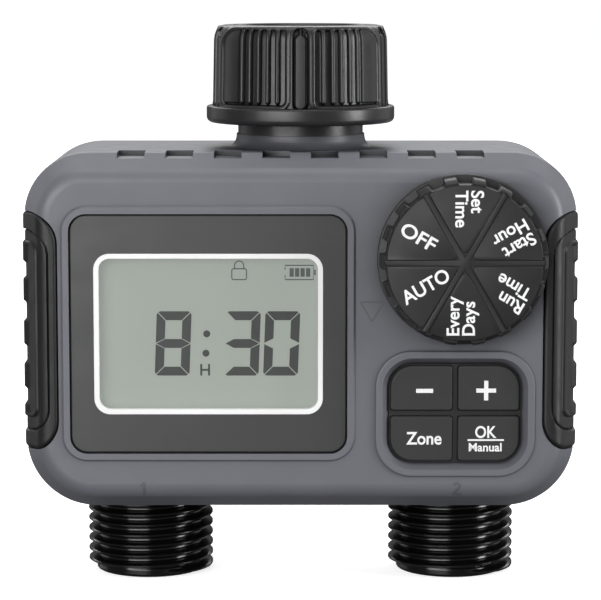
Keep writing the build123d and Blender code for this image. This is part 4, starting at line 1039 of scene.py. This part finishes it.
# ======== grips
def grip_path(s):
    """A grip's line across the right side: x, y and the normal's angle from -Y at a distance s along it,
    and the distance at which it passes the housing's crease.
    """
    arc_x, arc_y = WIDTH / 2 - BLEND_CENTRE_INSET, FRONT_Y + FACE_BLEND_R
    flat_length = arc_x - GRIP_INNER_X
    arc_length = FACE_BLEND_R * BEVEL_TURN
    across, ahead = math.cos(BEVEL_TURN), math.sin(BEVEL_TURN)
    bevel_x, bevel_y = arc_x + FACE_BLEND_R * ahead, arc_y - FACE_BLEND_R * across
    bevel_length = math.hypot(WIDTH / 2 - bevel_x, CREASE_Y - bevel_y)
    crease = flat_length + arc_length + bevel_length
    turn = np.clip(s - flat_length, 0, arc_length) / FACE_BLEND_R
    along = np.clip(s - flat_length - arc_length, 0, bevel_length)
    x = GRIP_INNER_X + np.clip(s, 0, flat_length) + FACE_BLEND_R * np.sin(turn) + along * across
    y = arc_y - FACE_BLEND_R * np.cos(turn) + along * ahead + np.clip(s - crease, 0, None)
    rounding = ramp(s, crease - 0.9, crease + 0.9)
    return x, y, turn + (math.pi / 2 - BEVEL_TURN) * rounding, crease


def grip_height(q, z):
    """How far a grip's skin stands out at a distance q from its inner edge and a height z."""
    edge = -grip_distance(q, z, 0.0, (0.0, 0.0), GRIP_CORNER)
    field = -grip_distance(q, z, 1.8, (3.65, 3.7), 5.2)
    island = -grip_distance(q, z, 4.3, (6.05, 6.65), 2.0)
    roll = np.sqrt(1 - (1 - np.clip(edge / GRIP_EDGE_W, 0, 1)) ** 2)
    height = GRIP_EDGE_H * roll - GRIP_EDGE_FOOT
    height = height - GRIP_FIELD_DROP * ramp(field, -0.15, 0.08)
    height = height - GRIP_FIELD_GROOVE * band(field, 0.0, 0.3, 0.15)
    height = height + GRIP_ISLAND_H * ramp(island, -0.1, 0.12) - GRIP_ISLAND_DISH * ramp(island, 0.6, 0.85)
    on_side = ramp(q, GRIP_CREASE_Q - 1.0, GRIP_CREASE_Q) * (1 - ramp(q, GRIP_SPAN - 6.6, GRIP_SPAN - 5.8))
    ribs = np.zeros(np.broadcast(q, z).shape)
    for high, low in GRIP_RIBS:
        ribs = np.maximum(ribs, band(z, low, high, 0.75))
    level = GRIP_RIB_H * ribs - GRIP_RIB_FOOT
    inside = ramp(island, -0.1, 0.3) * on_side
    return height * (1 - inside) + level * inside


def grip_distance(q, z, inset, end_insets, corner):
    """Signed distance to a rounded rectangle set in from a grip's outline."""
    low, high = GRIP_LOW.z + end_insets[1], GRIP_HIGH.z - end_insets[0]
    centre = (GRIP_SPAN / 2, (low + high) / 2)
    half = (GRIP_SPAN / 2 - inset, (high - low) / 2)
    return box_distance(q, z, centre, half, corner)


def grip(side):
    """A soft ribbed strap set into the side of the housing; side is -1 or 1."""
    low, high, corner = GRIP_LOW.z, GRIP_HIGH.z, GRIP_CORNER
    round_z = [corner * (1 - math.cos(math.pi / 2 * k / 16)) for k in range(17)]
    levels = [low + d for d in round_z] + [high - d for d in round_z] + stations([low, high], 0.25).tolist()
    z = [low]
    for level in sorted(levels):
        if level - z[-1] > 0.04:
            z.append(level)
    z = np.array(z)
    crease = grip_path(np.array([0.0]))[3]
    length = crease + GRIP_BACK_Y - CREASE_Y
    share = np.concatenate([stations([0, 11], 0.2), stations([11, length], 0.5)[1:]]) / length
    # the inner corners are round in the front view
    from_end = np.minimum(z - low, high - z)
    round_w = corner - np.sqrt(np.maximum(corner ** 2 - (corner - from_end) ** 2, 0))
    cut = np.where(from_end < corner, round_w, 0)
    line_s = np.linspace(0, crease, 400)
    line_x = grip_path(line_s)[0]
    start = np.interp(GRIP_INNER_X + cut, line_x, line_s)
    s = start[:, None] + share[None, :] * (length - start)[:, None]
    x, y, normal, _ = grip_path(s)
    zz = np.broadcast_to(z[:, None], s.shape)
    q = np.where(s < crease, x - GRIP_INNER_X, GRIP_CREASE_Q + s - crease)
    # the housing's outline turns in towards its top and bottom corners
    above = np.clip(z - (TOP - TOP_CORNER), 0, None)
    below = np.clip((BOTTOM + BOTTOM_CORNER) - z, 0, None)
    turned_in = TOP_CORNER - np.sqrt(TOP_CORNER ** 2 - above ** 2)
    turned_in = turned_in + BOTTOM_CORNER - np.sqrt(BOTTOM_CORNER ** 2 - below ** 2)
    x = x - turned_in[:, None] * ramp(s, 0, 6)
    layers = []
    for height in (grip_height(q, zz), np.full(s.shape, -GRIP_ROOT_DEPTH)):
        layers.append(np.stack([x + height * np.sin(normal), y - height * np.cos(normal), zz], axis=-1))
    rows, columns = s.shape
    points = np.concatenate([layer.reshape(-1, 3) for layer in layers])
    points[:, 0] *= side
    count = rows * columns
    faces = grid_faces(rows, columns)
    faces += [tuple(v + count for v in reversed(face)) for face in grid_faces(rows, columns)]
    edge = list(range(columns)) + [i * columns + columns - 1 for i in range(1, rows)]
    edge += [(rows - 1) * columns + j for j in reversed(range(columns - 1))]
    edge += [i * columns for i in reversed(range(1, rows - 1))]
    faces += [(a, b, b + count, a + count) for a, b in zip(edge, edge[1:] + edge[:1])]
    name = "right_grip" if side > 0 else "left_grip"
    piece = mesh_piece(f"{name}_strap", points.tolist(), faces, 40)
    finish_piece(piece, "root", MATERIALS["black_rubber"], [name])


# ======== marks moulded into the housing, drawn darker than it as painted shade
def pointer_mark():
    """A small outlined triangle beside the dial that points at the chosen sector, drawn darker as painted
    shade of its engraved line.
    """
    centre, reach = (DIAL_X - 18.5, DIAL_Z - 10.3), 2.75
    path = rounded_outline(arc(centre, reach, 30, 270, 2), 0.25)
    outline = ribbon(path, 0.22, FRONT_Y + 0.1, FRONT_Y - 0.04, True)
    composed("dial_pointer_mark", [outline], "root", MARK_SHADE)


def outlet_number(name, outline, x):
    """A number moulded on the rounded lower edge of the front, above an outlet, drawn darker as painted
    shade of the moulding.
    """
    points, faces = plate(outline, 0.0, -0.14, 0)
    shape = bmesh.new()
    corners = [shape.verts.new(p) for p in points]
    for face in faces:
        shape.faces.new([corners[v] for v in face])
    for k in range(1, 12):
        everything = list(shape.verts) + list(shape.edges) + list(shape.faces)
        level = OUTLET_MARK_H * k / 12
        bmesh.ops.bisect_plane(shape, geom=everything, plane_co=(0, 0, level), plane_no=(0, 0, 1))
    middle_x = sum(p[0] for p in outline) / len(outline)
    centre_y, centre_z = FRONT_Y + FACE_BLEND_R, BOTTOM + BLEND_CENTRE_INSET
    for v in shape.verts:
        z = OUTLET_MARK_Z + v.co.z
        turn = math.asin(max(0.0, centre_z - z) / FACE_BLEND_R)
        reach = FACE_BLEND_R - 0.1 - v.co.y
        sunk = centre_z - reach * math.sin(turn) if z < centre_z else z
        v.co = Vector((x + v.co.x - middle_x, centre_y - reach * math.cos(turn), sunk))
    shape.verts.index_update()
    points = [tuple(v.co) for v in shape.verts]
    faces = [tuple(v.index for v in f.verts) for f in shape.faces]
    shape.free()
    composed(name, [(points, faces)], "root", MARK_SHADE)


def figure_one():
    h = OUTLET_MARK_H
    return [(0.75, 0), (1.2, 0), (1.2, h), (0.85, h), (0.1, h - 0.65), (0.1, h - 1.05), (0.75, h - 0.6)]


def figure_two():
    """An outline for the figure 2: a round top, a slanting stroke and a flat foot."""
    h, stroke = OUTLET_MARK_H, 0.42
    centre, outer = (0.85, h - 0.8), 0.8
    top = arc(centre, outer, 170, -35, 13)
    under = arc(centre, outer - stroke, -35, 170, 11)
    return top + [(0.62, stroke), (1.65, stroke), (1.65, 0), (0, 0), (0, stroke)] + under


# ======== camera, light and floor
def studio():
    """The camera at the product's front, slightly above, with soft boxes and a pale floor."""
    tilt, aim = CAMERA_TILT, Vector((0, 0, AIM_Z))
    camera_data = bpy.data.cameras.new("camera")
    camera_data.lens = CAMERA_LENS
    camera_data.sensor_width = 36.0
    camera = new_object("camera", camera_data)
    camera.location = (aim + Vector((0, -math.cos(tilt), math.sin(tilt))) * CAMERA_DISTANCE) * MM
    camera.rotation_euler = (math.pi / 2 - tilt, 0, 0)
    camera_data.clip_start, camera_data.clip_end = 0.01, 100
    bpy.context.scene.camera = camera
    bpy.context.scene.view_settings.view_transform = "Standard"
    bpy.context.scene.view_settings.look = "None"

    soft_box("front", (-0.62, -1.25, 0.12), 1.1, 0.9, 16.5)
    soft_box("top", (-0.1, -0.1, 1.2), 1.3, 0.6, 4.5)
    soft_box("back", (0.0, 1.15, 0.75), 1.7, 0.6, 10.0)
    soft_box("right", (1.25, -0.42, 0.12), 0.35, 0.9, 14.0)
    soft_box("right_rim", (1.1, 0.7, 0.05), 0.8, 1.0, 1.3)
    soft_box("left_rim", (-1.1, 0.7, 0.05), 0.8, 1.0, 1.3)
    backdrop()
    floor()


def soft_box(name, place, width, height, power):
    """A rectangular area light that faces the object."""
    light = bpy.data.lights.new(name, "AREA")
    light.shape = "RECTANGLE"
    light.size, light.size_y = width, height
    light.energy = power
    lamp = new_object(name, light)
    lamp.location = place
    aim = Vector((0, 0, LAMP_AIM_Z * MM)) - Vector(place)
    lamp.rotation_euler = aim.to_track_quat("-Z", "Y").to_euler()


def backdrop():
    """A pale world for the camera, and a softer gradient, dark below, for reflections."""
    world = bpy.data.worlds.new("studio")
    bpy.context.scene.world = world
    world.use_nodes = True
    tree = world.node_tree
    direction = add(tree, "TexCoord").outputs["Generated"]
    height = add(tree, "SeparateXYZ", {"Vector": direction}).outputs["Z"]
    colours = add(tree, "ValToRGB", {"Fac": mapped(tree, height, (-1.0, 1.0))})
    stops = colours.color_ramp.elements
    stops[0].color = (0.14, 0.14, 0.14, 1)
    stops[1].color = (0.40, 0.40, 0.40, 1)
    level = stops.new(0.5)
    level.color = (0.10, 0.10, 0.105, 1)
    camera_ray = add(tree, "LightPath").outputs["Is Camera Ray"]
    seen = mixed(tree, camera_ray, colours.outputs["Color"], (0.97, 0.97, 0.97, 1))
    feed(tree, tree.nodes["Background"], {"Color": seen})


def floor():
    """A wide pale floor under the outlets that the object doesn't mirror."""
    low = cad_low.z - 0.0002
    mesh = bpy.data.meshes.new("floor")
    reach = 40.0
    corners = [(x, y, low) for x, y in bar(0, 0, 2 * reach, 2 * reach)]
    mesh.from_pydata(corners, [], [(0, 1, 2, 3)])
    piece = new_object("floor", mesh)
    material, tree, shader = surface("pale_floor", (0.9, 0.9, 0.9, 1), 0.9, specular=0.0)
    feed(tree, shader, {"Emission Color": (1, 1, 1, 1), "Emission Strength": 0.75})
    mesh.materials.append(material)
    piece.visible_diffuse = False
    piece.visible_glossy = False


# ======== the whole
dress_cad_nodes()
inlet_nut()
outlet(1, -OUTLET_X)
outlet(2, OUTLET_X)
dial_body()
dial_face()
dial_lettering()
key_legends()
display_digits()
display_icons()
grip(1)
grip(-1)
pointer_mark()
outlet_number("outlet_number_1", figure_one(), -OUTLET_X - 0.1)
outlet_number("outlet_number_2", figure_two(), OUTLET_X)
studio()
